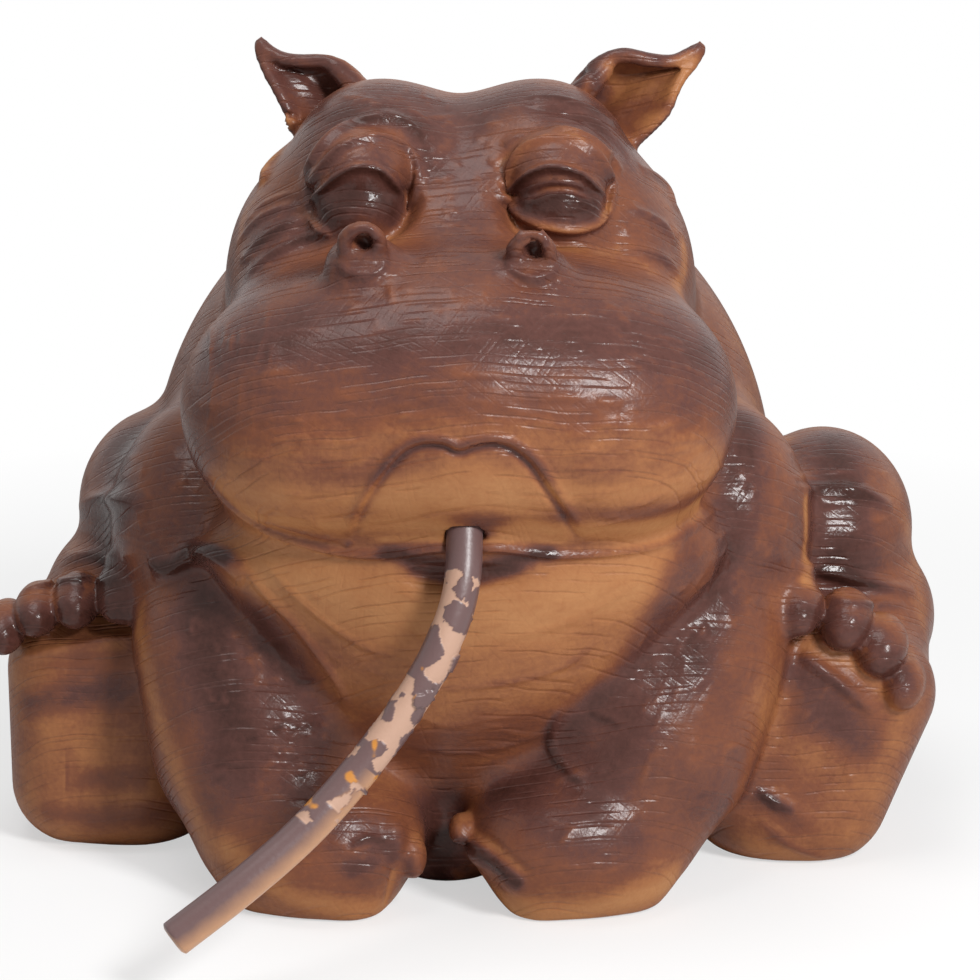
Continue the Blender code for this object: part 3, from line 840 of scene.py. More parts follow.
@dataclass
class Muzzle(BodyPart):
    """The broad muzzle with its two lobes, the jaw under it and the lips."""

    middle: Point = (0.0, -62.0, 112.0)
    width: float = 119.0
    height: float = 66.0
    mouth_width: float = 37.0
    smooth: tuple = (((362, 538), (395, 470), (430, 452), (500, 452), (535, 480), (566, 538)),)

    def lumps(self) -> list[Lump]:
        """The muzzle's clay."""
        half_width, half_height = self.width / 2, self.height / 2
        made = [Lump(offset(self.middle, 0, 0, 2), (half_width - 14, 38, half_height), blend=10)]
        for side in (-1, 1):
            lobe = offset(self.middle, side * (half_width - 33), 1, -1)
            corner = offset(self.middle, side * (half_width - 29), 1, -8)
            made.append(Lump(lobe, (32.5, 36, half_height - 5), blend=8))
            made.append(Lump(corner, (23, 29, half_height - 14), blend=6))
        return made

    def jaw(self) -> list[Lump]:
        """The lower jaw, a little behind the muzzle's lower edge."""
        return [
            Lump(offset(self.middle, 1, 8, -34), (56, 31, 24), blend=10),
            Lump(offset(self.middle, 1, 14, -50), (45, 26, 22), blend=14),
        ]

    def gap(self) -> list[Lump]:
        """The small parted mouth in the middle of the lip line."""
        half = self.mouth_width / 2
        return [Lump(offset(self.middle, 1.0, -26, -32.2), (half, 5.5, 3.9), (-14, 0, 0), 1.2, hollow=True)]

    def lines(self) -> list[Line]:
        """The line of the closed lips and the arched bead of the upper lip."""
        lip = (
            (210, 484), (226, 502), (246, 517), (270, 531), (296, 540), (325, 548), (355, 553), (388, 554),
            (430, 548), (470, 546), (510, 548), (548, 554), (580, 554), (612, 552), (645, 548), (676, 539),
            (700, 522), (720, 496),
        )
        bead = (
            (354, 539), (362, 515), (376, 490), (392, 468), (406, 454), (422, 447), (442, 447), (459, 454),
            (476, 449), (496, 446), (513, 452), (530, 467), (546, 490), (560, 510), (572, 530), (578, 540),
        )
        groove = (
            (347, 534), (356, 509), (371, 483), (388, 461), (402, 447), (421, 439), (443, 439), (459, 445),
            (476, 440), (498, 438), (518, 445), (537, 461), (553, 484), (567, 506), (580, 528),
        )
        return [
            Line(lip, 1.1, 1.5, 0.3),
            Line(groove, 1.0, 1.0, 0.3),
            Line(bead, 0.9, -0.9, 0.42),
            Line(((352, 541), (345, 546)), 0.8, 0.5, 0.3),
            Line(((262, 521), (300, 532), (345, 543)), 0.7, 0.3, 0.2),
        ]

    def sprays(self) -> list[Spray]:
        """Plum on top, russet in front, ochre below and inside the lips, and painted shade: a dark mouth
        opening and a dark patch over the stalk's entry.
        """
        return [
            Spray(((230, 300), (330, 270), (460, 260), (600, 275), (700, 320)), 18, 0.72, 0.9),
            Spray(((220, 350), (330, 338), (470, 338), (600, 342), (708, 362)), 19, 0.86, 0.95),
            Spray(((205, 410), (330, 402), (470, 398), (600, 400), (715, 410)), 11, 0.7, 0.85),
            Spray(((235, 465), (320, 450), (470, 440), (600, 450), (705, 450)), 9, 0.36),
            Spray(((225, 490), (300, 500), (400, 500), (560, 495), (660, 490), (712, 470)), 10, 0.16, 0.9),
            Spray(((250, 515), (320, 525), (400, 525), (560, 530), (660, 525), (700, 500)), 7, 0.08, 0.9),
            Spray(((400, 500), (470, 480), (530, 500)), 10, 0.12, 0.9),
            # painted shade: dark sprayed into the parted mouth, where shade falls in the opening
            Spray(((388, 554), (425, 562), (470, 568), (510, 562), (548, 555)), 3.6, 0.95, 1.0),
            Spray(((415, 568), (465, 579), (515, 568)), 3.0, 0.9, 1.0),
            Spray(((378, 540), (420, 538), (520, 538), (562, 541)), 2.0, 0.15, 0.9),
            # painted shade: a dark patch over the stalk where it enters the mouth
            Spray(((446, 533), (465, 527), (486, 533)), 2.4, 0.85, 0.9),
        ]

    def hatchings(self) -> list[Hatching]:
        """Tool strokes over the muzzle."""
        return [
            Hatching(((270, 420), (420, 400), (350, 500), (290, 500)), 14, 54, 34, 0.28),
            Hatching(((330, 300), (600, 300), (620, 420), (330, 420)), 0, 54, 60, 0.16, 4),
            Hatching(((400, 395), (600, 395), (700, 440), (560, 440), (430, 436)), -2, 48, 44, 0.26),
            Hatching(((560, 430), (720, 410), (700, 500), (590, 530)), 14, 54, 46, 0.28, 7),
            Hatching(((200, 330), (270, 300), (290, 470), (215, 470)), 84, 21, 60, 0.24),
            Hatching(((200, 350), (300, 330), (300, 480), (215, 480)), 4, 24, 60, 0.24),
            Hatching(((300, 260), (560, 262), (600, 320), (300, 330)), 70, 24, 30, 0.22, 30),
            Hatching(((240, 500), (330, 520), (340, 545), (270, 530)), -20, 15, 30, 0.2),
            Hatching(((600, 290), (700, 330), (700, 400), (620, 360)), -24, 27, 36, 0.18),
        ]


@dataclass
class Eyes(BodyPart):
    """Bulging, half-closed eyes in their sockets, each under a heavy lid."""

    middle: Point = (0.0, -46.0, 155.5)
    spacing: float = 42.0
    radius: float = 11.8
    smooth: tuple = (
        ((322, 190), (352, 172), (385, 180), (404, 205), (390, 232), (330, 232)),
        ((514, 198), (545, 180), (580, 182), (606, 205), (590, 226), (540, 226)),
    )

    def lumps(self) -> list[Lump]:
        """The eyes' clay."""
        made = []
        r = self.radius
        for side in (-1, 1):
            eye = offset(self.middle, side * self.spacing / 2, 0, 0)
            made += [
                Lump(offset(eye, 0, -9.5, 1), (r + 1.6, r - 1, r + 1.4), blend=2, hollow=True),
                Lump(offset(eye, 0, 0.8, 3.0), (r - 0.4, r, r - 2.2), (-6, 0, 0), 0.8),
                Lump(offset(eye, 0, -1.9, -3.4), (r - 1.8, r - 1.6, r - 4.2), (10, 0, 0), blend=0.4),
                Lump(offset(eye, 0, -1.6, -9.4), (r - 1, r - 3.6, r - 7.4), blend=3),
            ]
        return made

    def lines(self) -> list[Line]:
        """The edge of each lid, the lines on it and the rim of the socket."""
        left_lid = (
            (304, 213), (318, 196), (332, 181), (349, 170), (366, 167), (381, 172), (393, 184), (403, 200),
        )
        left_rim = (
            (306, 209), (310, 185), (325, 163), (345, 146), (373, 138), (397, 143), (414, 158), (419, 178),
            (414, 199), (404, 212),
        )
        right_rim = (
            (509, 199), (508, 182), (512, 163), (526, 147), (552, 138), (580, 143), (601, 160), (612, 185),
            (610, 206), (598, 223), (573, 230), (543, 225), (519, 214), (509, 199),
        )
        return [
            Line(left_lid, 1.0, 2.0, 0.35),
            Line(((331, 173), (352, 160), (373, 159), (391, 170), (405, 189)), 0.9, 0.7, 0.15),
            Line(((345, 160), (366, 152), (386, 158), (402, 172)), 0.8, 0.3, 0.05),
            Line(left_rim, 1.2, 1.3, 0.2),
            Line(((511, 193), (524, 178), (545, 168), (566, 169), (586, 178), (607, 200)), 1.0, 2.0, 0.35),
            Line(((520, 196), (540, 185), (560, 182), (582, 188), (600, 202)), 0.9, 0.6, 0.1),
            Line(((530, 204), (550, 196), (572, 196), (592, 206)), 0.8, 0.6, 0.1),
            Line(((528, 199), (548, 189), (572, 189), (592, 199)), 0.8, -0.5, -0.2),
            Line(((306, 213), (316, 226), (332, 236)), 0.9, 0.9, -0.1),
            Line(right_rim, 1.1, 1.2, open_ends=False),
        ]

    def sprays(self) -> list[Spray]:
        """Dark eyeballs, plum lids and ochre round the sockets."""
        return [
            Spray(((373, 139), (397, 144), (414, 160), (418, 180), (412, 200)), 3, 0.45, 0.6),
            Spray(((305, 212), (320, 222)), 3.5, 0.45, 0.6),
            Spray(((330, 165), (355, 150), (385, 155)), 5, 0.74),
            Spray(((328, 210), (360, 196), (392, 206)), 6.5, 1.0, 0.95),
            Spray(((509, 199), (508, 178), (526, 147), (552, 138), (580, 143)), 2.4, 0.42, 0.75),
            Spray(((608, 208), (598, 224), (573, 231), (543, 227), (519, 215)), 1.7, 0.3),
            Spray(((530, 160), (560, 152), (590, 165)), 5, 0.72),
            Spray(((528, 205), (560, 204), (592, 208)), 5.5, 1.0, 0.95),
            Spray(((545, 187), (575, 188)), 1.5, 0.6, 0.6),
        ]


@dataclass
class Nostrils(BodyPart):
    """Two raised, rolled nostril rims on the top of the muzzle."""

    middle: Point = (-2.2, -78.5, 147.2)
    spacing: float = 34.5
    radius: float = 3.6
    rim: float = 1.7
    beads: int = 18

    def lumps(self) -> list[Lump]:
        """The rims' clay and the holes in them."""
        made = []
        for side in (-1, 1):
            middle = offset(self.middle, side * self.spacing / 2, 0, -side * 0.9)
            made.append(Lump(offset(middle, 0, 5.5, -5.5), (8, 8, 7), blend=4))
            for angle in np.arange(self.beads) * 2 * math.pi / self.beads:
                across = self.radius * math.cos(angle)
                up = self.radius * math.sin(angle)
                place = offset(middle, across, -0.4 * up, 0.92 * up)
                made.append(Lump(place, (self.rim,) * 3, blend=1.0))
            made.append(Lump(offset(middle, 0, 2.6, -1), (self.radius,) * 3, blend=0.5))
            hole = offset(middle, 0.6, -0.8, 0.8)
            hole_size = (self.radius - 1.6, 3.2, self.radius - 2.0)
            made.append(Lump(hole, hole_size, (-24, 0, 0), 0.8, hollow=True))
        return made

    def lines(self) -> list[Line]:
        """The curl in each nostril and the folds under it."""
        return [
            Line(((350, 236), (358, 228), (370, 229), (376, 238), (373, 250), (364, 254)), 0.8, 0.6, 0.15),
            Line(((352, 249), (358, 240), (366, 241), (368, 249)), 0.7, -0.7, -0.1),
            Line(((516, 240), (524, 230), (538, 230), (546, 240), (543, 252), (532, 257)), 0.8, 0.6, 0.15),
            Line(((518, 252), (524, 242), (534, 242), (538, 251)), 0.7, -0.7, -0.1),
            Line(((338, 262), (348, 272), (364, 276), (380, 270), (388, 256)), 0.9, 0.7, 0.1),
            Line(((506, 262), (518, 274), (536, 278), (552, 272), (562, 258)), 0.9, 0.8, 0.1),
            Line(((508, 272), (522, 284), (542, 287), (560, 279)), 0.9, -0.6),
        ]

    def sprays(self) -> list[Spray]:
        """Dark holes and plum rims."""
        return [
            Spray(((362, 246), (366, 250)), 6, 0.7),
            Spray(((530, 246), (534, 250)), 6, 0.7),
            Spray(((362, 244), (364, 246)), 2.6, 0.95, 0.9),
            Spray(((530, 245), (532, 247)), 2.6, 0.95, 0.9),
        ]


@dataclass(frozen=True)
class EarShape:
    """One ear: its upper and lower edges from root to tip, its bowl's depth, and the roll at its root."""

    upper: Path
    lower: Path
    bowl: float
    root: Path


LEFT_EAR = EarShape(
    (
        (-20, 12, 37), (-24, 11, 40.5), (-27, 10, 43), (-31, 10, 44.2), (-36, 10, 44.2), (-40, 11, 44.6),
        (-43, 12, 46), (-45, 13, 47.8),
    ),
    (
        (-33, 6, 25), (-37, 6, 29), (-38.8, 6, 32.8), (-41, 7, 37), (-43.4, 9, 41), (-45, 11, 44.6),
        (-45.6, 12, 46.6), (-45.6, 13, 47.6),
    ),
    5.5,
    ((-21, 9, 35), (-24.5, 8, 39), (-28, 8, 42)),
)
RIGHT_EAR = EarShape(
    (
        (24, 12, 36), (30, 11, 42.6), (36, 10, 45.6), (42, 10, 44.6), (47.6, 11, 44), (51.5, 12, 45.6),
        (54, 13, 46.8),
    ),
    (
        (37, 6, 24), (42.3, 6, 28.5), (46.2, 6, 32.8), (48.2, 7, 37.2), (50.2, 9, 40.6), (52.8, 11, 43.4),
        (54.4, 13, 46.2),
    ),
    7.5,
    ((26, 9, 35.5), (29, 7.5, 38.5), (32.5, 8, 42)),
)


@dataclass
class Ears(BodyPart):
    """Two leaf-shaped ears, each a bowl that opens to the front, with a rolled upper rim."""

    middle: Point = (0.0, -15.0, 134.0)
    thickness: float = 2.4
    steps_across: int = 9
    fold_height: float = 1.8
    fold_place: float = 0.66
    fold_width: float = 0.09
    rim_start: int = 6
    rim_radii: Point = (1.9, 1.2)
    root_radii: Point = (3.2, 2.8, 2.0)
    shapes: tuple[EarShape, ...] = (LEFT_EAR, RIGHT_EAR)

    def add_to(self, clay: Clay) -> None:
        """Joins the ears to the clay.

        Args:
            clay: The statue's clay.
        """
        middle = np.array(self.middle)
        across = self.steps_across
        for shape in self.shapes:
            tops, bottoms = smooth_path(shape.upper), smooth_path(shape.lower)
            points = []
            for number, (top, bottom) in enumerate(zip(tops, bottoms)):
                fade = 1.0 - (number / (len(tops) - 1)) ** 2
                for t in np.linspace(0.0, 1.0, across):
                    fold = math.exp(-(((t - self.fold_place) / self.fold_width) ** 2))
                    point = top + (bottom - top) * t + middle
                    point[1] += shape.bowl * fade * (1.0 - (2.0 * t - 1.0) ** 2)
                    point[1] -= self.fold_height * fade * fold
                    points.append(point)
            corners = [row * across + t for row in range(len(tops) - 1) for t in range(across - 1)]
            faces = [(a, a + 1, a + across + 1, a + across) for a in corners]
            clay.add_sheet(points, faces, self.thickness, 2.5)
            rim = tops[self.rim_start :] + middle + (0.0, -1.1, -0.5)
            clay.add_roll(rim, np.linspace(*self.rim_radii, len(rim)), 0.8)
            clay.add_roll(np.array(shape.root) + middle, np.array(self.root_radii), 1.0)

    def sprays(self) -> list[Spray]:
        """Ochre bowls with a brown fold, dark rims, and painted shade in the left bowl beside its root."""
        return [
            Spray(((600, 80), (630, 80), (660, 80)), 9, 0.3, 0.9),
            Spray(((650, 120), (668, 100), (690, 62)), 6, 0.2),
            Spray(((626, 108), (650, 106), (668, 106)), 3, 0.6),
            Spray(((625, 72), (655, 74), (672, 76)), 3.5, 0.5, 0.6),
            Spray(((577, 84), (590, 70), (600, 92)), 4, 0.9, 0.9),
            Spray(((586, 66), (611, 51), (640, 50), (660, 57), (680, 51), (703, 43)), 2.6, 0.85, 0.9),
            Spray(((268, 60), (280, 85), (292, 105)), 6, 0.75, 0.85),
            Spray(((290, 75), (310, 85)), 7, 0.85, 0.9),
            Spray(((262, 40), (283, 54), (310, 56), (340, 66), (356, 80)), 2.8, 0.85, 0.9),
            # painted shade: dark in the left ear's bowl where its root meets the head
            Spray(((335, 72), (325, 92), (312, 112)), 4.5, 0.8),
        ]


@dataclass
class Forelegs(BodyPart):
    """Thick forelegs that come down in front of the belly to paws that almost meet."""

    shoulder_spacing: float = 118.0
    shoulder_rise: float = 78.0
    thickness: float = 50.0
    reach: float = 62.0
    paw_width: float = 51.0
    toes: tuple = (
        ((-20.5, -77.2, 13.5), (5.2, 5.0, 4.4)),
        ((-14.5, -74.8, 18.0), (3.4, 4.5, 5.2)),
        ((-10.0, -72.8, 13.5), (3.0, 4.5, 5.0)),
        ((0.3, -67.2, 17.7), (2.8, 5.0, 3.4)),
        ((5.8, -71.8, 14.5), (4.4, 5.0, 3.8)),
        ((12.4, -76.4, 10.6), (4.4, 5.0, 3.8)),
    )

    def lumps(self) -> list[Lump]:
        """The forelegs' clay, with the toes."""
        half = self.thickness / 2
        made = [Lump((-3, 18 - self.reach, 10), (15, 14, 14), blend=6)]
        for side in (-1, 1):
            shoulder = (side * self.shoulder_spacing / 2, -24.0, self.shoulder_rise)
            elbow = offset(shoulder, side * -10, -16, -28)
            paw = (side * 29.5 - 3, -self.reach, 14.0)
            wrist = tuple((a + b) / 2 + c for a, b, c in zip(elbow, paw, (side * 3, 2, 0)))
            ball = self.paw_width / 2 - 8
            made += [
                Lump(shoulder, (20, 28, 26), (0, side * -8, 0), blend=9),
                Lump(elbow, (half - 1, half, 27), (-16, side * 10, 0), blend=4),
                Lump(wrist, (half, half, 25), (-14, side * 24, 0), blend=8),
                Lump(paw, (self.paw_width / 2, 21, 17), (0, side * 6, side * 20), blend=8),
                Lump(offset(paw, side * -1, -1, -8), (ball, 13, 9), (0, 0, side * 16), 5, 8),
            ]
        return made + [Lump(centre, radii, blend=1.5) for centre, radii in self.toes]

    def lines(self) -> list[Line]:
        """The folds of elbows and wrists, and the creases between the toes."""
        return [
            Line(((150, 566), (172, 566), (196, 553), (222, 556), (246, 580)), 2.6, 3.0, 0.35),
            Line(((178, 545), (210, 548), (246, 566)), 1.6, 1.0, 0.2),
            Line(((561, 708), (552, 722), (549, 740), (556, 758), (568, 774), (584, 785)), 1.1, 0.8, 0.35),
            Line(((587, 712), (604, 719), (622, 727)), 1.0, 0.4, 0.2),
            Line(((385, 905), (390, 886), (394, 868)), 0.9, -0.6, -0.2),
            Line(((470, 826), (490, 842), (512, 861), (532, 878)), 1.4, -0.4, -0.1),
            Line(((462, 838), (482, 852), (503, 868), (522, 886)), 1.4, 1.0, 0.4),
            Line(((352, 846), (368, 838), (386, 842)), 0.9, 0.6, 0.2),
        ]

    def sprays(self) -> list[Spray]:
        """Dark along the middle of each foreleg, tan at its edges and under the paws, and painted shade in
        the recess between the throat and the right foreleg.
        """
        return [
            Spray(((190, 450), (180, 490), (185, 530)), 13, 0.78, 0.85),
            Spray(((135, 470), (128, 520), (136, 590)), 6, 0.55),
            Spray(((200, 610), (215, 670), (240, 740)), 13, 1.0, 0.95),
            Spray(((262, 620), (290, 680), (310, 740)), 10, 0.9, 0.9),
            Spray(((285, 720), (305, 760), (300, 790)), 8, 0.86, 0.9),
            Spray(((140, 620), (150, 690), (175, 770), (205, 840)), 7, 0.3, 0.9),
            Spray(((250, 780), (320, 815), (370, 840)), 13, 0.78, 0.85),
            Spray(((225, 850), (290, 898), (370, 912), (405, 896)), 6, 0.2, 0.95),
            Spray(((150, 566), (172, 568), (196, 555), (222, 558)), 3.5, 0.88),
            Spray(((352, 868), (372, 862)), 3.5, 0.88),
            Spray(((388, 842), (392, 858)), 3, 0.86),
            Spray(((408, 862), (410, 872)), 2.6, 0.8),
            Spray(((393, 870), (390, 900)), 2.0, 0.45),
            Spray(((745, 420), (738, 500), (720, 580), (690, 660)), 11, 0.9, 0.95),
            Spray(((690, 560), (650, 640), (620, 700)), 10, 0.8, 0.85),
            Spray(((660, 680), (630, 740), (590, 790)), 13, 0.86, 0.9),
            Spray(((510, 790), (560, 825), (620, 840)), 13, 0.82, 0.9),
            # painted shade: dark sprayed in the recess between the throat and the right foreleg
            Spray(((600, 700), (575, 730), (540, 770), (500, 790)), 7, 0.95),
            Spray(((795, 450), (797, 510), (785, 580)), 6, 0.66),
            Spray(((768, 550), (762, 620)), 6, 0.72),
            Spray(((775, 600), (764, 700), (744, 780), (716, 840)), 6, 0.52, 0.9),
            Spray(((705, 862), (650, 893), (560, 918), (510, 910)), 8, 0.0, 0.95),
            Spray(((455, 872), (476, 894), (500, 914)), 2.4, 0.4),
            Spray(((466, 828), (496, 848), (531, 877)), 2.0, 0.5),
            Spray(((462, 845), (486, 862), (516, 884)), 3.4, 0.92, 0.9),
        ]

    def hatchings(self) -> list[Hatching]:
        """Tool strokes on the forelegs."""
        return [
            Hatching(((130, 450), (200, 440), (220, 540), (140, 550)), -75, 27, 26, 0.25, 22),
            Hatching(((180, 600), (250, 590), (290, 700), (200, 720)), -70, 36, 22, 0.25, 25),
            Hatching(((180, 640), (300, 640), (340, 820), (220, 800)), 12, 27, 32, -0.2, 10, -0.08),
            Hatching(((262, 705), (330, 705), (330, 770), (262, 770)), 30, 24, 16, 0.25, 40),
            Hatching(((240, 770), (380, 790), (370, 860), (280, 850)), 14, 24, 34, 0.22, 10),
            Hatching(((700, 460), (770, 440), (760, 640), (650, 660)), 62, 66, 24, 0.3, 24),
            Hatching(((640, 640), (760, 620), (730, 800), (640, 780)), 72, 42, 34, 0.26, 10),
            Hatching(((560, 760), (740, 740), (700, 860), (560, 880)), 20, 42, 34, 0.24, 24),
            Hatching(((740, 460), (800, 470), (790, 620), (760, 640)), 80, 18, 36, 0.2, 8),
        ]


@dataclass(frozen=True)
class Foot:
    """One folded hind leg and its foot.

    Side is -1 or 1, and the turn of the sole is in degrees. Each toe has its place across and up the sole,
    its half width and its half height.
    """

    side: int
    turn: float
    sole: Point
    heel: Point
    knee: Point
    shin: Point
    toes: Path


LEFT_FOOT = Foot(
    side=-1,
    turn=0.0,
    sole=(-82.5, -16.0, 27.0),
    heel=(-76.0, -14.0, 10.0),
    knee=(-70.0, 10.0, 71.0),
    shin=(-78.0, 2.0, 50.0),
    toes=((-20.7, 26, 5.0, 5.4), (-13.2, 30.2, 5.3, 5.4), (-4.2, 32.3, 5.5, 5.7), (5.4, 33.4, 5.0, 5.4)),
)
RIGHT_FOOT = Foot(
    side=1,
    turn=22.0,
    sole=(81.5, -25.5, 28.0),
    heel=(72.0, -26.0, 10.0),
    knee=(86.0, 10.0, 66.0),
    shin=(91.0, 2.0, 47.0),
    toes=((-5.8, 32.2, 5.0, 5.6), (4.4, 29.6, 6.0, 6.6), (12.4, 23.6, 6.2, 6.8), (17.4, 15.2, 5.3, 5.8)),
)


@dataclass
class HindLegs(BodyPart):
    """Hind legs folded beside the body, soles to the front and toes up. The right one is turned outward."""

    thigh: float = 44.0
    foot_width: float = 44.0
    foot_height: float = 57.0
    toe_length: float = 19.0
    feet: tuple[Foot, ...] = (LEFT_FOOT, RIGHT_FOOT)

    def lumps(self) -> list[Lump]:
        """The hind legs' clay."""
        made = []
        thick = self.thigh / 2
        for foot in self.feet:
            made += [
                Lump(foot.knee, (thick - 1, 32, 23), (0, foot.side * 8, 0), blend=6),
                Lump(foot.shin, (thick - 1, 28, 20), (0, foot.side * 6, 0), blend=4),
                Lump(offset(foot.sole, 0, 16, -3), (23, 28, 25), blend=7),
                Lump(foot.heel, (20, 20, 14), blend=8),
                Lump(foot.sole, (self.foot_width / 2, 21, self.foot_height / 2), (0, foot.turn, 0), 7, 15),
            ]
        return made

    def toes(self) -> list[Lump]:
        """Four round toes along the top of each sole."""
        made = []
        for foot in self.feet:
            for across, up, half_width, half_height in foot.toes:
                size = (half_width, self.toe_length / 2, half_height)
                centre = offset(foot.sole, across, -15.5, up)
                made.append(Lump(centre, size, (12, foot.turn, 0), blend=0.8))
        return made

    def lines(self) -> list[Line]:
        """The folds of the thighs and under the toes."""
        return [
            Line(((76, 508), (96, 500), (120, 500), (150, 506)), 2.2, 1.8, 0.2),
            Line(((62, 560), (90, 556), (120, 558)), 2.0, 1.2, 0.2),
            Line(((800, 492), (830, 490), (862, 494), (892, 506)), 2.0, 1.6, 0.25),
            Line(((792, 568), (830, 572), (870, 584), (915, 592)), 1.8, 1.8, 0.25),
            Line(((818, 596), (860, 604), (905, 606)), 1.4, 0.9, 0.2),
            Line(((0, 668), (30, 656), (70, 648), (110, 640), (138, 636)), 1.5, 1.3, 0.1),
            Line(((800, 655), (822, 670), (848, 690), (875, 713)), 1.5, 1.6, 0.15),
            Line(((755, 790), (772, 800), (795, 813)), 1.4, 1.6, 0.4),
            Line(((758, 820), (785, 842), (820, 856), (860, 862)), 1.1, 0.6, 0.25),
            Line(((10, 596), (40, 586), (80, 580), (120, 580)), 1.1, 0.8, 0.3),
        ]

    def sprays(self) -> list[Spray]:
        """Dark thighs and toes, and ochre soles with dark bands."""
        return [
            Spray(((130, 440), (112, 500), (105, 575)), 15, 0.98, 0.95),
            Spray(((75, 490), (60, 550)), 5, 0.5, 0.7),
            Spray(((20, 690), (70, 740), (120, 800), (60, 820)), 20, 0.32, 0.95),
            Spray(((0, 640), (30, 622), (70, 616), (118, 610)), 7.5, 0.95, 0.95),
            Spray(((12, 662), (60, 650), (120, 644)), 2.6, 0.3),
            Spray(((30, 705), (75, 695), (120, 690)), 6, 0.82, 0.85),
            Spray(((35, 776), (90, 778), (140, 778)), 4, 0.68),
            Spray(((50, 812), (100, 818), (160, 815)), 6, 0.66),
            Spray(((835, 440), (840, 500), (845, 575)), 15, 0.95, 0.95),
            Spray(((895, 490), (915, 560), (922, 620)), 7, 0.42, 0.9),
            Spray(((806, 500), (806, 580)), 3.5, 0.12, 0.9),
            Spray(((770, 700), (830, 750), (880, 760), (900, 730), (850, 830)), 18, 0.38, 0.95),
            Spray(((800, 612), (848, 622), (884, 648), (906, 684)), 6, 0.88, 0.95),
            Spray(((806, 648), (846, 660), (880, 690), (900, 716)), 3, 0.3),
            Spray(((790, 670), (815, 690), (835, 715)), 7, 0.84, 0.9),
            Spray(((810, 715), (860, 740)), 9, 0.82, 0.85),
            Spray(((750, 790), (775, 808), (800, 825)), 4.5, 0.74, 0.85),
            Spray(((760, 850), (830, 862), (880, 850)), 6, 0.22),
        ]

    def hatchings(self) -> list[Hatching]:
        """Tool strokes on the hind legs and the soles."""
        return [
            Hatching(((60, 440), (150, 430), (150, 570), (70, 560)), 6, 30, 34, 0.22),
            Hatching(((790, 440), (880, 440), (900, 580), (800, 580)), 4, 36, 34, 0.22, 6),
            Hatching(((10, 670), (140, 660), (150, 740), (15, 740)), 12, 36, 36, 0.24, 16),
            Hatching(((780, 660), (880, 720), (870, 790), (760, 760)), 30, 36, 26, 0.26, 40),
            Hatching(((740, 780), (860, 800), (840, 850), (740, 830)), -24, 24, 30, 0.24, 16),
        ]


@dataclass(frozen=True)
class ResinPaint:
    """Airbrushed lacquer on cast resin, from ochre through red-brown to dark chocolate. Its tone mask also
    holds painted shade in the mouth, between the legs, beside the left ear's root and under the left brow.

    The stops are the tones of the five colours. Each kind of stroke has its mask, its slant, and how many
    lie side by side in a metre. Pale paint is dull and dark paint glossy, and both reflect less at grazing
    angles.
    """

    name: str = "painted_resin"
    ochre: Point = (0.42, 0.195, 0.078)
    tan: Point = (0.33, 0.132, 0.050)
    russet: Point = (0.185, 0.063, 0.031)
    plum: Point = (0.098, 0.038, 0.030)
    chocolate: Point = (0.044, 0.016, 0.012)
    stops: Point = (0.0, 0.28, 0.52, 0.76, 1.0)
    strokes: tuple = ((Mask.LEVEL, 0.05, 480.0), (Mask.SLANTED, -0.75, 460.0), (Mask.STEEP, 1.3, 430.0))
    pale_stroke: float = -0.42
    dark_stroke: float = 0.3
    pale_roughness: float = 0.5
    dark_roughness: float = 0.18
    reflection: float = 0.3
    grazing_reflection: float = 0.03

    def build(self, groups: "PaintGroups") -> bpy.types.Material:
        """Makes the material.

        Args:
            groups: The shared node groups.

        Returns:
            The material.
        """
        sheet = PaintSheet(self.name)
        place = sheet.place()
        tone = sheet.mask(Mask.TONE)
        mottle = sheet.group(groups.mottle, {"Place": place, "Scale": 130.0, "Amount": 0.3})
        speckle = sheet.group(groups.mottle, {"Place": place, "Scale": 900.0, "Amount": 0.22})
        combed = sheet.group(groups.combing, {"Place": place, "Run": 90.0, "Pitch": 900.0})
        grain = sheet.group(groups.grain, {"Place": place, "Scale": 1500.0})
        marks = []
        for mask, angle, pitch in self.strokes:
            given = {"Place": place, "Angle": angle, "Pitch": pitch}
            marks.append((sheet.group(groups.scratches, given), sheet.mask(mask)))
        scratched = sheet.total(*marks)
        contrast = sheet.spread(tone, 0.0, 1.0, self.pale_stroke, self.dark_stroke)
        shade = sheet.total((tone, 1.0), (mottle, 1.0), (speckle, 1.0), (combed, 0.1), (scratched, contrast))
        colours = (self.ochre, self.tan, self.russet, self.plum, self.chocolate)
        sheet.paint("Base Color", sheet.ramp(shade, tuple(zip(self.stops, colours))))
        rough = sheet.spread(tone, 0.0, 1.0, self.pale_roughness, self.dark_roughness)
        sheet.paint("Roughness", sheet.total((rough, 1.0), (speckle, 0.4)))
        sheet.bump(sheet.total((combed, 0.22), (mottle, 0.2), (grain, 0.15), (scratched, 1.4)), 0.8, 0.0004)
        sheet.paint("IOR", 1.4)
        turned = sheet.add("ShaderNodeLayerWeight").outputs["Facing"]
        reflection = sheet.spread(turned, 0.2, 1.0, self.reflection, self.grazing_reflection)
        sheet.paint("Specular IOR Level", reflection)
        return sheet.material


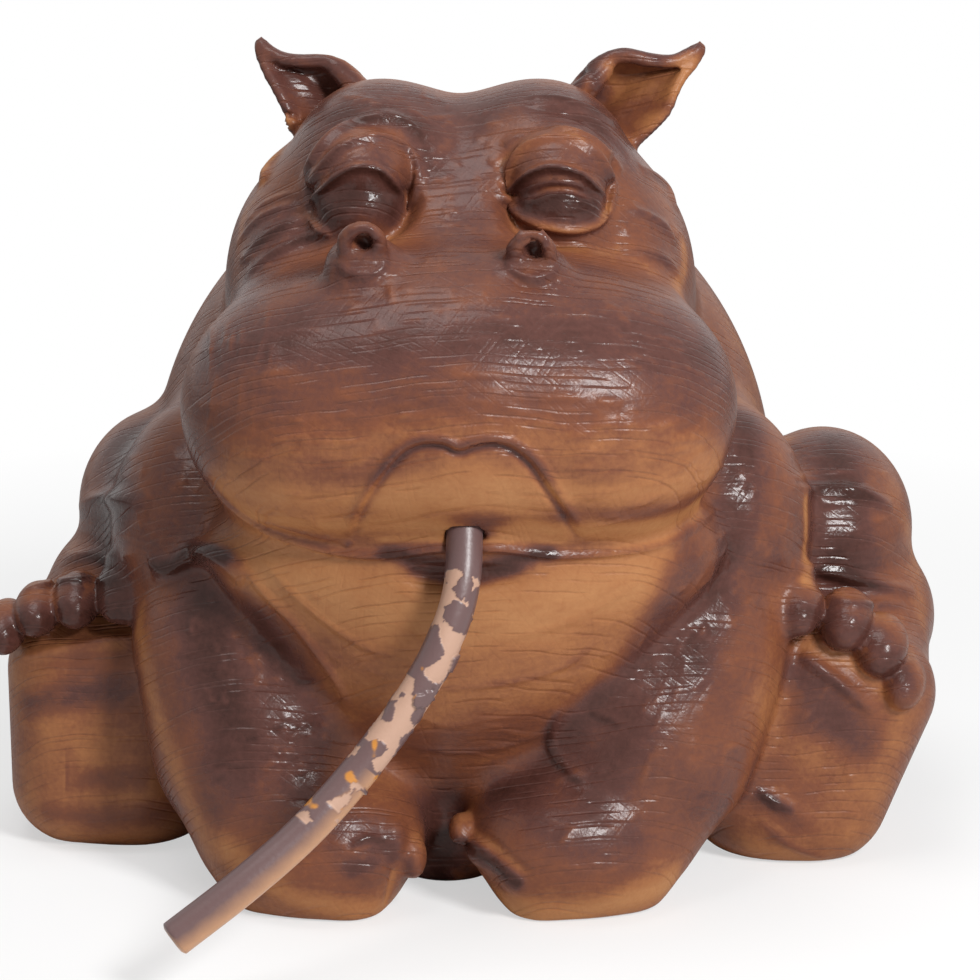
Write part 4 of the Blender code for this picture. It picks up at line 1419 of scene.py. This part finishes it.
@dataclass(frozen=True)
class StalkPaint:
    """Grey-mauve paint on a beige rod, flaked off near the mouth, with a peach lit side that is painted
    light.
    """

    name: str = "painted_stalk"
    mauve: Point = (0.115, 0.062, 0.060)
    beige: Point = (0.46, 0.28, 0.2)
    painted_lit_peach: Point = (0.48, 0.25, 0.13)
    amber: Point = (0.50, 0.20, 0.03)
    paint_roughness: float = 0.38
    bare_roughness: float = 0.6

    def build(self, groups: "PaintGroups") -> bpy.types.Material:
        """Makes the material.

        Args:
            groups: The shared node groups.

        Returns:
            The material.
        """
        sheet = PaintSheet(self.name)
        place = sheet.place()
        bare = sheet.mask(Mask.BARE)
        mottle = sheet.group(groups.mottle, {"Place": place, "Scale": 260.0, "Amount": 0.3})
        grain = sheet.group(groups.grain, {"Place": place, "Scale": 1100.0})
        tone = sheet.total((sheet.mask(Mask.TONE), 1.0), (mottle, 1.0))
        # painted light: peach is the colour of the rod's lit side, mauve the paint's own colour
        painted = sheet.ramp(tone, ((0.1, self.painted_lit_peach), (0.8, self.mauve)))
        colour = sheet.mix(bare, painted, opaque(self.beige))
        sheet.paint("Base Color", sheet.mix(sheet.mask(Mask.SPECK), colour, opaque(self.amber)))
        sheet.paint("Roughness", sheet.spread(bare, 0.0, 1.0, self.paint_roughness, self.bare_roughness))
        sheet.bump(sheet.total((grain, 1.0), (mottle, 1.0)), 0.3, 0.0002)
        sheet.paint("Coat Weight", 0.1)
        sheet.paint("Coat Roughness", 0.3)
        return sheet.material


def opaque(colour: Point) -> Point:
    """A colour as a socket takes it."""
    return (*colour, 1.0)


class Sheet:
    """A node tree that is being built, with short ways to add its nodes."""

    def __init__(self, tree: bpy.types.NodeTree) -> None:
        """Starts on a tree."""
        self.tree = tree

    def add(self, kind: str) -> bpy.types.Node:
        """Adds a node of a kind."""
        return self.tree.nodes.new(kind)

    def feed(self, socket: bpy.types.NodeSocket, value: object) -> None:
        """Gives a socket a value or another node's output.

        Args:
            socket: The input.
            value: A number, a colour or an output.
        """
        if isinstance(value, bpy.types.NodeSocket):
            self.tree.links.new(value, socket)
        else:
            socket.default_value = value

    def maths(self, operation: str, first: object, second: object = 0.0) -> bpy.types.NodeSocket:
        """Adds a sum of one value or two.

        Args:
            operation: What is done with them.
            first: The first value or output.
            second: The second, for a sum that takes two.

        Returns:
            The result.
        """
        node = self.add("ShaderNodeMath")
        node.operation = operation
        self.feed(node.inputs[0], first)
        self.feed(node.inputs[1], second)
        return node.outputs[0]

    def total(self, *terms: tuple[object, object]) -> bpy.types.NodeSocket:
        """Adds values up.

        Args:
            terms: Pairs of a value and what it is multiplied by, a number or another value.

        Returns:
            The total.
        """
        made = None
        for value, factor in terms:
            part = value if factor == 1.0 else self.maths("MULTIPLY", value, factor)
            made = part if made is None else self.maths("ADD", made, part)
        return made

    def spread(self, value: object, *ends: float) -> bpy.types.NodeSocket:
        """Maps a value from one range to another.

        Args:
            value: The value.
            ends: The low and high end of its range, and what they become.

        Returns:
            The mapped value.
        """
        node = self.add("ShaderNodeMapRange")
        for socket, given in zip(node.inputs, (value, *ends)):
            self.feed(socket, given)
        return node.outputs[0]

    def noise(self, place: bpy.types.NodeSocket, scale: object, detail: float = 2.0) -> bpy.types.NodeSocket:
        """Adds soft noise.

        Args:
            place: Where it is read.
            scale: How fine it is.
            detail: How many finer layers lie on it.

        Returns:
            The noise, from 0 to 1.
        """
        node = self.add("ShaderNodeTexNoise")
        for name, value in (("Vector", place), ("Scale", scale), ("Detail", detail)):
            self.feed(node.inputs[name], value)
        return node.outputs["Fac"]

    def joined(self, *values: object) -> bpy.types.NodeSocket:
        """Joins three values to one place."""
        node = self.add("ShaderNodeCombineXYZ")
        for socket, value in zip(node.inputs, values):
            self.feed(socket, value)
        return node.outputs[0]


class PaintSheet(Sheet):
    """A material that is being built."""

    def __init__(self, name: str) -> None:
        """Starts a material.

        Args:
            name: Its name.
        """
        self.material = bpy.data.materials.new(name)
        self.material.use_nodes = True
        super().__init__(self.material.node_tree)
        self.shader = self.tree.nodes["Principled BSDF"]

    def place(self) -> bpy.types.NodeSocket:
        """Each point's place on the object."""
        return self.add("ShaderNodeTexCoord").outputs["Object"]

    def mask(self, mask: Mask) -> bpy.types.NodeSocket:
        """Reads a mask that is painted on the mesh."""
        node = self.add("ShaderNodeAttribute")
        node.attribute_name = mask.value
        return node.outputs["Fac"]

    def group(self, tree: bpy.types.NodeTree, given: dict[str, object]) -> bpy.types.NodeSocket:
        """Places a shared node group.

        Args:
            tree: The group.
            given: Its inputs by name.

        Returns:
            Its first output.
        """
        node = self.add("ShaderNodeGroup")
        node.node_tree = tree
        for name, value in given.items():
            self.feed(node.inputs[name], value)
        return node.outputs[0]

    def ramp(self, value: object, stops: tuple) -> bpy.types.NodeSocket:
        """Turns a value into a colour.

        Args:
            value: The value.
            stops: Pairs of a place from 0 to 1 and a colour.

        Returns:
            The colour.
        """
        node = self.add("ShaderNodeValToRGB")
        elements = node.color_ramp.elements
        while len(elements) < len(stops):
            elements.new(0.5)
        for element, (at, colour) in zip(elements, stops):
            element.position = at
            element.color = opaque(colour)
        self.feed(node.inputs[0], value)
        return node.outputs["Color"]

    def mix(self, share: object, first: object, second: object) -> bpy.types.NodeSocket:
        """Mixes two colours.

        Args:
            share: How much of the second.
            first: The first colour.
            second: The second colour.

        Returns:
            The mixed colour.
        """
        node = self.add("ShaderNodeMix")
        node.data_type = "RGBA"
        for number, value in ((0, share), (6, first), (7, second)):
            self.feed(node.inputs[number], value)
        return node.outputs[2]

    def bump(self, height: object, strength: float, distance: float) -> None:
        """Gives the shader a bumpy surface.

        Args:
            height: The height over the surface.
            strength: How much it shows.
            distance: How high one unit is, in metres.
        """
        node = self.add("ShaderNodeBump")
        for name, value in (("Height", height), ("Strength", strength), ("Distance", distance)):
            self.feed(node.inputs[name], value)
        self.paint("Normal", node.outputs["Normal"])

    def paint(self, name: str, value: object) -> None:
        """Gives one of the shader's inputs a value or an output."""
        self.feed(self.shader.inputs[name], value)


class PaintGroups:
    """The shader effects that paints are made of, each a node group built once."""

    SWAY_SCALE = 38.0
    SWAY = 2.4
    LEAN_BACK = 0.7
    LOOSENESS = 0.6
    ROW_STEP = 3.7
    BREAKS = (0.44, 0.54)

    def __init__(self) -> None:
        """Builds the groups."""
        self.mottle = self.make_mottle()
        self.grain = self.make_grain()
        self.combing = self.make_combing()
        self.scratches = self.make_scratches()

    @staticmethod
    def start(name: str, inputs: dict[str, float], output: str) -> tuple:
        """Starts a group.

        Args:
            name: The group's name.
            inputs: Its number inputs by name, with their usual values; Place is always one.
            output: Its output's name.

        Returns:
            The group's sheet, the inputs as its nodes read them, and the socket that its result goes to.
        """
        tree = bpy.data.node_groups.new(name, "ShaderNodeTree")
        tree.interface.new_socket("Place", in_out="INPUT", socket_type="NodeSocketVector")
        for label, usual in inputs.items():
            socket = tree.interface.new_socket(label, in_out="INPUT", socket_type="NodeSocketFloat")
            socket.default_value = usual
        tree.interface.new_socket(output, in_out="OUTPUT", socket_type="NodeSocketFloat")
        sheet = Sheet(tree)
        return sheet, sheet.add("NodeGroupInput").outputs, sheet.add("NodeGroupOutput").inputs[0]

    def make_mottle(self) -> bpy.types.NodeTree:
        """Uneven spray: soft clouds about zero."""
        sheet, given, result = self.start("spray_mottle", {"Scale": 100.0, "Amount": 0.2}, "Shade")
        centred = sheet.maths("SUBTRACT", sheet.noise(given["Place"], given["Scale"], 4.0), 0.5)
        sheet.feed(result, sheet.maths("MULTIPLY", centred, given["Amount"]))
        return sheet.tree

    def make_grain(self) -> bpy.types.NodeTree:
        """Fine orange peel of sprayed paint, as a height."""
        sheet, given, result = self.start("paint_grain", {"Scale": 1200.0}, "Height")
        sheet.feed(result, sheet.noise(given["Place"], given["Scale"]))
        return sheet.tree

    def make_combing(self) -> bpy.types.NodeTree:
        """Fine level streaks of a toothed modelling tool, as a height about zero."""
        sheet, given, result = self.start("tool_combing", {"Run": 60.0, "Pitch": 800.0}, "Height")
        stretch = sheet.add("ShaderNodeVectorMath")
        stretch.operation = "MULTIPLY"
        sheet.feed(stretch.inputs[0], given["Place"])
        sheet.feed(stretch.inputs[1], sheet.joined(given["Run"], given["Run"], given["Pitch"]))
        sheet.feed(result, sheet.maths("SUBTRACT", sheet.noise(stretch.outputs[0], 1.0, 3.0), 0.5))
        return sheet.tree

    def make_scratches(self) -> bpy.types.NodeTree:
        """Straight, short tool strokes side by side as a height: 0 between them and -1 in them."""
        inputs = {"Angle": 0.0, "Run": 75.0, "Pitch": 480.0, "Width": 0.17}
        sheet, given, result = self.start("tool_scratches", inputs, "Height")
        turn = sheet.add("ShaderNodeVectorRotate")
        turn.rotation_type = "Y_AXIS"
        sheet.feed(turn.inputs["Vector"], given["Place"])
        sheet.feed(turn.inputs["Angle"], given["Angle"])
        axes = sheet.add("ShaderNodeSeparateXYZ")
        sheet.feed(axes.inputs[0], turn.outputs[0])
        x, y, z = axes.outputs
        leaned = sheet.total((z, 1.0), (y, self.LEAN_BACK))
        sway = sheet.noise(given["Place"], self.SWAY_SCALE)
        across = sheet.total((leaned, given["Pitch"]), (sway, self.SWAY))
        row = sheet.maths("FLOOR", across)
        chance = sheet.add("ShaderNodeTexWhiteNoise")
        chance.noise_dimensions = "1D"
        sheet.feed(chance.inputs["W"], row)
        shifted = sheet.maths("MULTIPLY", chance.outputs["Value"], self.LOOSENESS)
        middle = sheet.maths("ADD", shifted, (1.0 - self.LOOSENESS) / 2.0)
        gap = sheet.maths("ABSOLUTE", sheet.maths("SUBTRACT", sheet.maths("SUBTRACT", across, row), middle))
        side = sheet.maths("MINIMUM", sheet.maths("DIVIDE", gap, given["Width"]), 1.0)
        line = sheet.maths("SUBTRACT", side, 1.0)
        along = sheet.maths("MULTIPLY", x, given["Run"])
        runs = sheet.noise(sheet.joined(along, sheet.maths("MULTIPLY", row, self.ROW_STEP), 0.0), 1.0, 1.0)
        sheet.feed(result, sheet.maths("MULTIPLY", line, sheet.spread(runs, *self.BREAKS, 0.0, 1.0)))
        return sheet.tree


@dataclass
class Statue:
    """The cast body: all the clay, its carved skin and its paint."""

    torso: Torso = field(default_factory=Torso)
    head: Head = field(default_factory=Head)
    muzzle: Muzzle = field(default_factory=Muzzle)
    eyes: Eyes = field(default_factory=Eyes)
    nostrils: Nostrils = field(default_factory=Nostrils)
    ears: Ears = field(default_factory=Ears)
    forelegs: Forelegs = field(default_factory=Forelegs)
    hind_legs: HindLegs = field(default_factory=HindLegs)
    step: float = 1.0
    quick_step: float = 1.6
    triangles: int = 194000
    base_tone: float = 0.66
    darker_on_top: float = 0.2
    paler_in_recess: float = 0.15
    recess_size: float = 9.0
    pale_height: float = 22.0
    pale_strength: float = 0.4
    level_scratches: float = 0.3
    other_scratches: float = 0.05
    smooth_share: float = 0.85
    smooth_edge: float = 10.0

    def model(self, bore: np.ndarray, bore_radius: float) -> Clay:
        """Blends all the lumps into one mass of clay.

        Args:
            bore: Middle line of the stalk's socket.
            bore_radius: Radius of the socket.

        Returns:
            The clay.
        """
        masses = self.torso.lumps() + self.muzzle.jaw() + self.hind_legs.lumps() + self.hind_legs.toes()
        masses += self.forelegs.lumps() + self.head.lumps() + self.muzzle.lumps()
        clay = Clay(masses, self.step)
        for lump in masses + self.eyes.lumps() + self.nostrils.lumps():
            clay.work(lump)
        self.ears.add_to(clay)
        for lump in self.muzzle.gap():
            clay.work(lump)
        clay.add_roll(bore, np.full(len(bore), bore_radius), 0.3, hollow=True)
        clay.flatten_below(0.0)
        return clay

    def parts(self) -> tuple[BodyPart, ...]:
        """The parts, in the order that they are carved and sprayed in."""
        front = (self.torso, self.head, self.muzzle, self.eyes, self.nostrils, self.ears)
        return (*front, self.forelegs, self.hind_legs)

    def lines(self) -> list[Line]:
        """Every main line of the statue."""
        return [line for part in self.parts() for line in part.lines()]

    def sprays(self) -> list[Spray]:
        """Every pass of the airbrush, in order."""
        return [spray for part in self.parts() for spray in part.sprays()]

    def hatchings(self) -> list[Hatching]:
        """Every hatched area of the statue."""
        return [hatching for part in self.parts() for hatching in part.hatchings()]

    def tool_strokes(self) -> list[Line]:
        """Every tool stroke that is deep enough to carve."""
        return [line for seed, hatching in enumerate(self.hatchings()) for line in strokes(hatching, seed)]

    def scratches(self, skin: Skin) -> dict[Mask, np.ndarray]:
        """Where the fine scratches lie that are too thin to carve.

        Args:
            skin: The finished surface.

        Returns:
            How strong they are at each of its points, for each way that they run.
        """
        across, down = VIEW.places(skin.points)
        to_front = np.clip(skin.normals @ -np.array(VIEW.heading()) * 3.0, 0.0, 1.0)
        masks = {Mask.LEVEL: np.full(len(across), self.level_scratches)}
        for mask in (Mask.SLANTED, Mask.STEEP):
            masks[mask] = np.full(len(across), self.other_scratches)
        for hatching in self.hatchings():
            values = masks[hatching.mask()]
            hatched = cover(hatching.area, hatching.soft_edge, across, down)
            np.maximum(values, hatched * to_front, out=values)
        for area in self.eyes.smooth + self.muzzle.smooth:
            kept = 1.0 - self.smooth_share * cover(area, self.smooth_edge, across, down) * to_front
            for values in masks.values():
                values *= kept
        return masks

    def build(self, bore: np.ndarray, bore_radius: float) -> bpy.types.Object:
        """Models, carves and sprays the statue.

        Args:
            bore: Middle line of the stalk's socket.
            bore_radius: Radius of the socket.

        Returns:
            The finished piece, without its material.
        """
        clay = self.model(bore, bore_radius)
        thing = clay.skin("hippopotamus")
        thing.modifiers.new("finer", "SUBSURF").levels = 1
        bake_modifiers(thing)
        skin = Skin(thing)
        for line in self.lines():
            skin.carve(line)
        skin.settle()
        fine = self.tool_strokes()
        for line in fine:
            skin.carve(line, 3)
        skin.settle()
        thin = thing.modifiers.new("thin", "DECIMATE")
        thin.ratio = min(self.triangles / (2 * len(thing.data.polygons)), 1.0)
        bake_modifiers(thing)
        thing.data.shade_smooth()
        self.paint(Skin(thing), clay, fine)
        return thing

    def paint(self, skin: Skin, clay: Clay, fine: list[Line]) -> None:
        """Sprays the tone of the paint on the skin, painted shade in a few recesses included.

        Args:
            skin: The finished surface.
            clay: The clay that it covers.
            fine: The fine tool strokes.
        """
        for mask, values in self.scratches(skin).items():
            skin.keep(mask, values)
        recess = np.clip(clay.hollowness(skin.points, self.recess_size), 0.0, 1.0)
        low = np.clip(1.0 - skin.points[:, 2] / self.pale_height, 0.0, 1.0)
        tone = self.base_tone + self.darker_on_top * skin.normals[:, 2] - self.paler_in_recess * recess
        tone -= self.pale_strength * low
        for spray in self.sprays():
            skin.spray(tone, spray)
        for line in self.lines():
            skin.stain(tone, line)
        for line in fine:
            skin.stain(tone, line, rubbed=True)
        skin.keep(Mask.TONE, tone)


def bake_modifiers(thing: bpy.types.Object) -> None:
    """Gives an object the mesh that its modifiers make, and takes them off."""
    finished = thing.evaluated_get(bpy.context.evaluated_depsgraph_get())
    done = bpy.data.meshes.new_from_object(finished)
    thing.modifiers.clear()
    old = thing.data
    thing.data = done
    bpy.data.meshes.remove(old)


@dataclass
class Stalk:
    """The bent stalk in the mouth, painted, with the paint flaking off its upper half.

    Each end ring lies so far in from the surface and so far ahead. Wear and specks hold places from 0 to 1
    along the stalk, and how much of the paint is off or how many specks there are at each.
    """

    muzzle: Point = (0.0, -62.0, 112.0)
    diameter: float = 7.4
    clearance: float = 0.3
    depth: float = 9.0
    sides: int = 96
    steps: int = 44
    bore_steps: int = 3
    end_rings: Path = ((0.35, 0.25), (0.9, 0.5), (1.7, 0.55), (2.6, 0.4))
    paint_thickness: float = 0.16
    rod_sunk: float = 0.06
    chip_size: float = 4.0
    curled_chips: float = 0.07
    curl_wear: float = 0.3
    curl_height: float = 0.5
    curl_tone: float = 1.4
    dark_share: float = 0.55
    dark_tone: float = 0.95
    speck_size: float = 2.4
    wear: Path = ((0.0, 0.14, 0.2, 0.3, 0.45, 0.62, 0.7, 1.0), (0.0, 0.0, 0.5, 0.58, 0.5, 0.25, 0.0, 0.0))
    specks: Path = ((0.3, 0.45, 0.66, 0.72), (-1.0, -0.55, -0.5, -1.5))
    route: Path = (
        (1.4, -24.5, -22.5),
        (1.0, -29.0, -30.5),
        (-0.8, -32.0, -38.0),
        (-5.0, -35.0, -47.5),
        (-11.5, -38.0, -57.5),
        (-20.0, -42.0, -68.0),
        (-31.0, -48.0, -79.0),
        (-43.4, -54.0, -88.5),
        (-56.6, -59.0, -97.6),
    )

    def middle_line(self, steps: int) -> np.ndarray:
        """The stalk's middle line.

        Args:
            steps: Steps between one given point and the next.

        Returns:
            Its points, starting inside the socket.
        """
        route = smooth_path(self.route, steps) + np.array(self.muzzle)
        inward = route[0] - route[1]
        inward /= np.linalg.norm(inward)
        return np.vstack([route[0] + inward * self.depth, route])

    def bore(self) -> np.ndarray:
        """The middle line of the socket, from its bottom to outside the lips."""
        return self.middle_line(self.bore_steps)[: self.bore_steps + 2]

    def build(self) -> bpy.types.Object:
        """Makes the stalk.

        Returns:
            The finished piece, without its material.
        """
        path = self.middle_line(self.steps)
        frames = self.frames(path)
        radius = self.diameter / 2
        points = [point for place, side, up in frames for point in self.ring(place, side, up, radius)]
        last, side, up = frames[-1]
        heading = Vector(path[-1] - path[-2]).normalized()
        for inset, ahead in self.end_rings:
            points += self.ring(last + heading * ahead, side, up, radius - inset)
        count = self.sides
        rows = len(points) // count
        faces = [tuple(range(count))[::-1], tuple(range(len(points) - count, len(points)))]
        for start in range(0, len(points) - count, count):
            for n in range(count):
                after = (n + 1) % count
                faces.append((start + n, start + after, start + count + after, start + count + n))
        mesh = bpy.data.meshes.new("stalk_in_mouth")
        mesh.from_pydata([point * MM for point in points], [], faces)
        mesh.validate()
        mesh.shade_smooth()
        thing = put_in_scene("stalk_in_mouth", mesh)
        lengths = np.concatenate([[0.0], np.cumsum(np.linalg.norm(np.diff(path, axis=0), axis=1))])
        self.flake(thing, lengths, rows)
        return thing

    @staticmethod
    def frames(path: np.ndarray) -> list[tuple[Vector, Vector, Vector]]:
        """Sets a ring at each point of the middle line, none twisted against the one before.

        Args:
            path: The middle line.

        Returns:
            Each ring's middle and its two ways across.
        """
        across = Vector(path[1] - path[0]).normalized().orthogonal().normalized()
        made = []
        for number, place in enumerate(path):
            before, after = path[max(number - 1, 0)], path[min(number + 1, len(path) - 1)]
            heading = Vector(after - before).normalized()
            across = (across - heading * across.dot(heading)).normalized()
            made.append((Vector(place), across, heading.cross(across)))
        return made

    def ring(self, place: Vector, side: Vector, up: Vector, radius: float) -> list[Vector]:
        """One ring of points round the stalk.

        Args:
            place: Its middle.
            side: One way across the stalk.
            up: The other way across.
            radius: Its radius.

        Returns:
            The points.
        """
        turn = 2 * math.pi / self.sides
        return [
            place + side * (math.cos(n * turn) * radius) + up * (math.sin(n * turn) * radius)
            for n in range(self.sides)
        ]

    def flake(self, thing: bpy.types.Object, lengths: np.ndarray, rows: int) -> None:
        """Lifts the paint off the bare patches and stores the masks, whose tone holds painted light by the
        way the surface faces.

        Args:
            thing: The stalk.
            lengths: Length along the stalk at each ring.
            rows: How many rings of points the mesh has.
        """
        skin = Skin(thing)
        along = np.concatenate([lengths, np.full(rows - len(lengths), lengths[-1])])
        along = np.repeat(along, self.sides) / lengths[-1]
        chips = chip_values(skin.points, self.chip_size)
        wear = np.interp(along, *self.wear)
        bare = (chips < wear).astype(float)
        curled = (chips > 1.0 - self.curled_chips) & (wear > self.curl_wear)
        lift = self.paint_thickness * (1.0 - bare) - self.rod_sunk + self.curl_height * curled
        skin.points += skin.normals * lift[:, None]
        specks = soft_noise(skin.points / self.speck_size, 8) + np.interp(along, *self.specks)
        specks = np.clip(8.0 * specks, 0.0, 1.0)
        skin.settle()
        skin.keep(Mask.BARE, bare)
        skin.keep(Mask.SPECK, specks * (1.0 - bare))
        # painted light: past dark_share the colour follows the way the surface faces, peach underneath and
        # toward the key lamp on +X as the lit side, mauve on top
        painted_light_tone = 0.55 + 0.75 * skin.normals[:, 2] - 0.2 * skin.normals[:, 0]
        tone = np.where(along < self.dark_share, self.dark_tone, np.clip(painted_light_tone, 0.0, 1.0))
        skin.keep(Mask.TONE, np.where(curled, self.curl_tone, tone))


def chip_values(points: np.ndarray, size: float) -> np.ndarray:
    """Splits space into ragged chips, the same on each run.

    Args:
        points: Where the chips are wanted.
        size: How large a chip is.

    Returns:
        A value from 0 to 1 for each point, the same all over a chip.
    """
    warp = np.stack([soft_noise(points * 1.3, seed) for seed in (11, 12, 13)], 1)
    warped = points / size + 0.12 * warp
    cell = np.floor(warped).astype(int)
    draws = np.random.default_rng(7).uniform(0.0, 1.0, (*TABLE, 4))
    nearest = np.full(len(points), np.inf)
    value = np.zeros(len(points))
    for step in np.ndindex(3, 3, 3):
        at = cell + step - 1
        drawn = draws[tuple((at % TABLE).T)]
        gap = ((at + drawn[:, :3] - warped) ** 2).sum(1)
        closer = gap < nearest
        nearest[closer] = gap[closer]
        value[closer] = drawn[closer, 3]
    return value


def soft_noise(points: np.ndarray, seed: int) -> np.ndarray:
    """Smooth noise about zero, the same on each run.

    Args:
        points: Where it is wanted, one unit to a bump.
        seed: Which noise.

    Returns:
        One value for each point, about -1 to 1.
    """
    table = np.random.default_rng(seed).uniform(-1.0, 1.0, TABLE)
    cell = np.floor(points).astype(int)
    return read_between(table, cell, ease(points - cell))


@dataclass
class Studio:
    """A pale floor, a white backdrop and soft lamps, with sizes in metres and power in watts.

    The floor's fade holds two distances from the middle, and how white the floor is seen at each.
    """

    ambient: float = 0.2
    floor_size: float = 8.0
    floor_grey: float = 0.9
    floor_fade: Point = (0.1, 0.4, 0.55, 1.0)
    key_place: Point = (0.42, -0.66, 0.6)
    key_size: float = 0.2
    key_power: float = 7.6
    fill_place: Point = (-0.15, -0.16, 0.95)
    fill_size: float = 0.5
    fill_power: float = 3.6
    aim: Point = (0.0, -0.02, 0.09)

    def build(self) -> None:
        """Lights the statue."""
        self.make_floor()
        self.make_world()
        self.add_lamp("key", self.key_place, self.key_size, self.key_power)
        self.add_lamp("fill", self.fill_place, self.fill_size, self.fill_power)

    def make_floor(self) -> None:
        """The floor that the statue stands on, which turns white away from it."""
        bpy.ops.mesh.primitive_plane_add(size=self.floor_size)
        floor = bpy.context.object
        floor.name = "floor"
        sheet = PaintSheet("floor")
        sheet.paint("Base Color", opaque((self.floor_grey,) * 3))
        sheet.paint("Roughness", 0.9)
        far = sheet.add("ShaderNodeVectorMath")
        far.operation = "LENGTH"
        sheet.feed(far.inputs[0], sheet.place())
        white = sheet.add("ShaderNodeEmission")
        seen = sheet.add("ShaderNodeLightPath").outputs["Is Camera Ray"]
        away = sheet.spread(far.outputs["Value"], *self.floor_fade)
        blend = sheet.add("ShaderNodeMixShader")
        layers = (sheet.maths("MULTIPLY", away, seen), sheet.shader.outputs[0], white.outputs[0])
        for socket, layer in zip(blend.inputs, layers):
            sheet.feed(socket, layer)
        sheet.feed(sheet.tree.nodes["Material Output"].inputs["Surface"], blend.outputs[0])
        floor.data.materials.append(sheet.material)

    def make_world(self) -> None:
        """Even light from all round, seen as plain white behind the statue."""
        world = bpy.data.worlds.new("studio")
        bpy.context.scene.world = world
        world.use_nodes = True
        sheet = Sheet(world.node_tree)
        path = sheet.add("ShaderNodeLightPath").outputs
        seen = path["Is Camera Ray"]
        for name in ("Is Glossy Ray", "Is Transmission Ray"):
            seen = sheet.maths("MAXIMUM", seen, path[name])
        shade = sheet.tree.nodes["Background"]
        sheet.feed(shade.inputs["Strength"], sheet.spread(seen, 0.0, 1.0, self.ambient, 1.0))
        sheet.feed(shade.inputs["Color"], (1.0, 1.0, 1.0, 1.0))

    def add_lamp(self, name: str, place: Point, size: float, power: float) -> None:
        """Adds a soft lamp that faces the statue.

        Args:
            name: Its name.
            place: Where it hangs.
            size: Its width.
            power: Its power.
        """
        lamp = put_in_scene(name, bpy.data.lights.new(name, "AREA"))
        lamp.data.size = size
        lamp.data.energy = power
        lamp.location = place
        lamp.rotation_euler = (Vector(self.aim) - lamp.location).to_track_quat("-Z", "Y").to_euler()


def dress(piece: bpy.types.Object, material: bpy.types.Material, node: str) -> None:
    """Gives a piece its paint and its place in the frame.

    Args:
        piece: The piece.
        material: Its paint.
        node: The solid that it stands for.
    """
    piece.data.materials.clear()
    piece.data.materials.append(material)
    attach(piece, "root")
    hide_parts(node)
    log.info("%s: %d faces, in place of %s", piece.name, len(piece.data.polygons), node)


def main() -> None:
    """Builds the statue, its stalk and the studio."""
    logging.basicConfig(level=logging.INFO, format="%(name)s: %(message)s")
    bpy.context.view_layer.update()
    bpy.context.scene.view_settings.view_transform = "Standard"
    groups = PaintGroups()
    stalk = Stalk()
    body = Statue().build(stalk.bore(), stalk.diameter / 2 + stalk.clearance)
    dress(body, ResinPaint().build(groups), "hippo_body")
    dress(stalk.build(), StalkPaint().build(groups), "stalk")
    VIEW.make_camera()
    Studio().build()


if __name__ == "__main__":
    main()
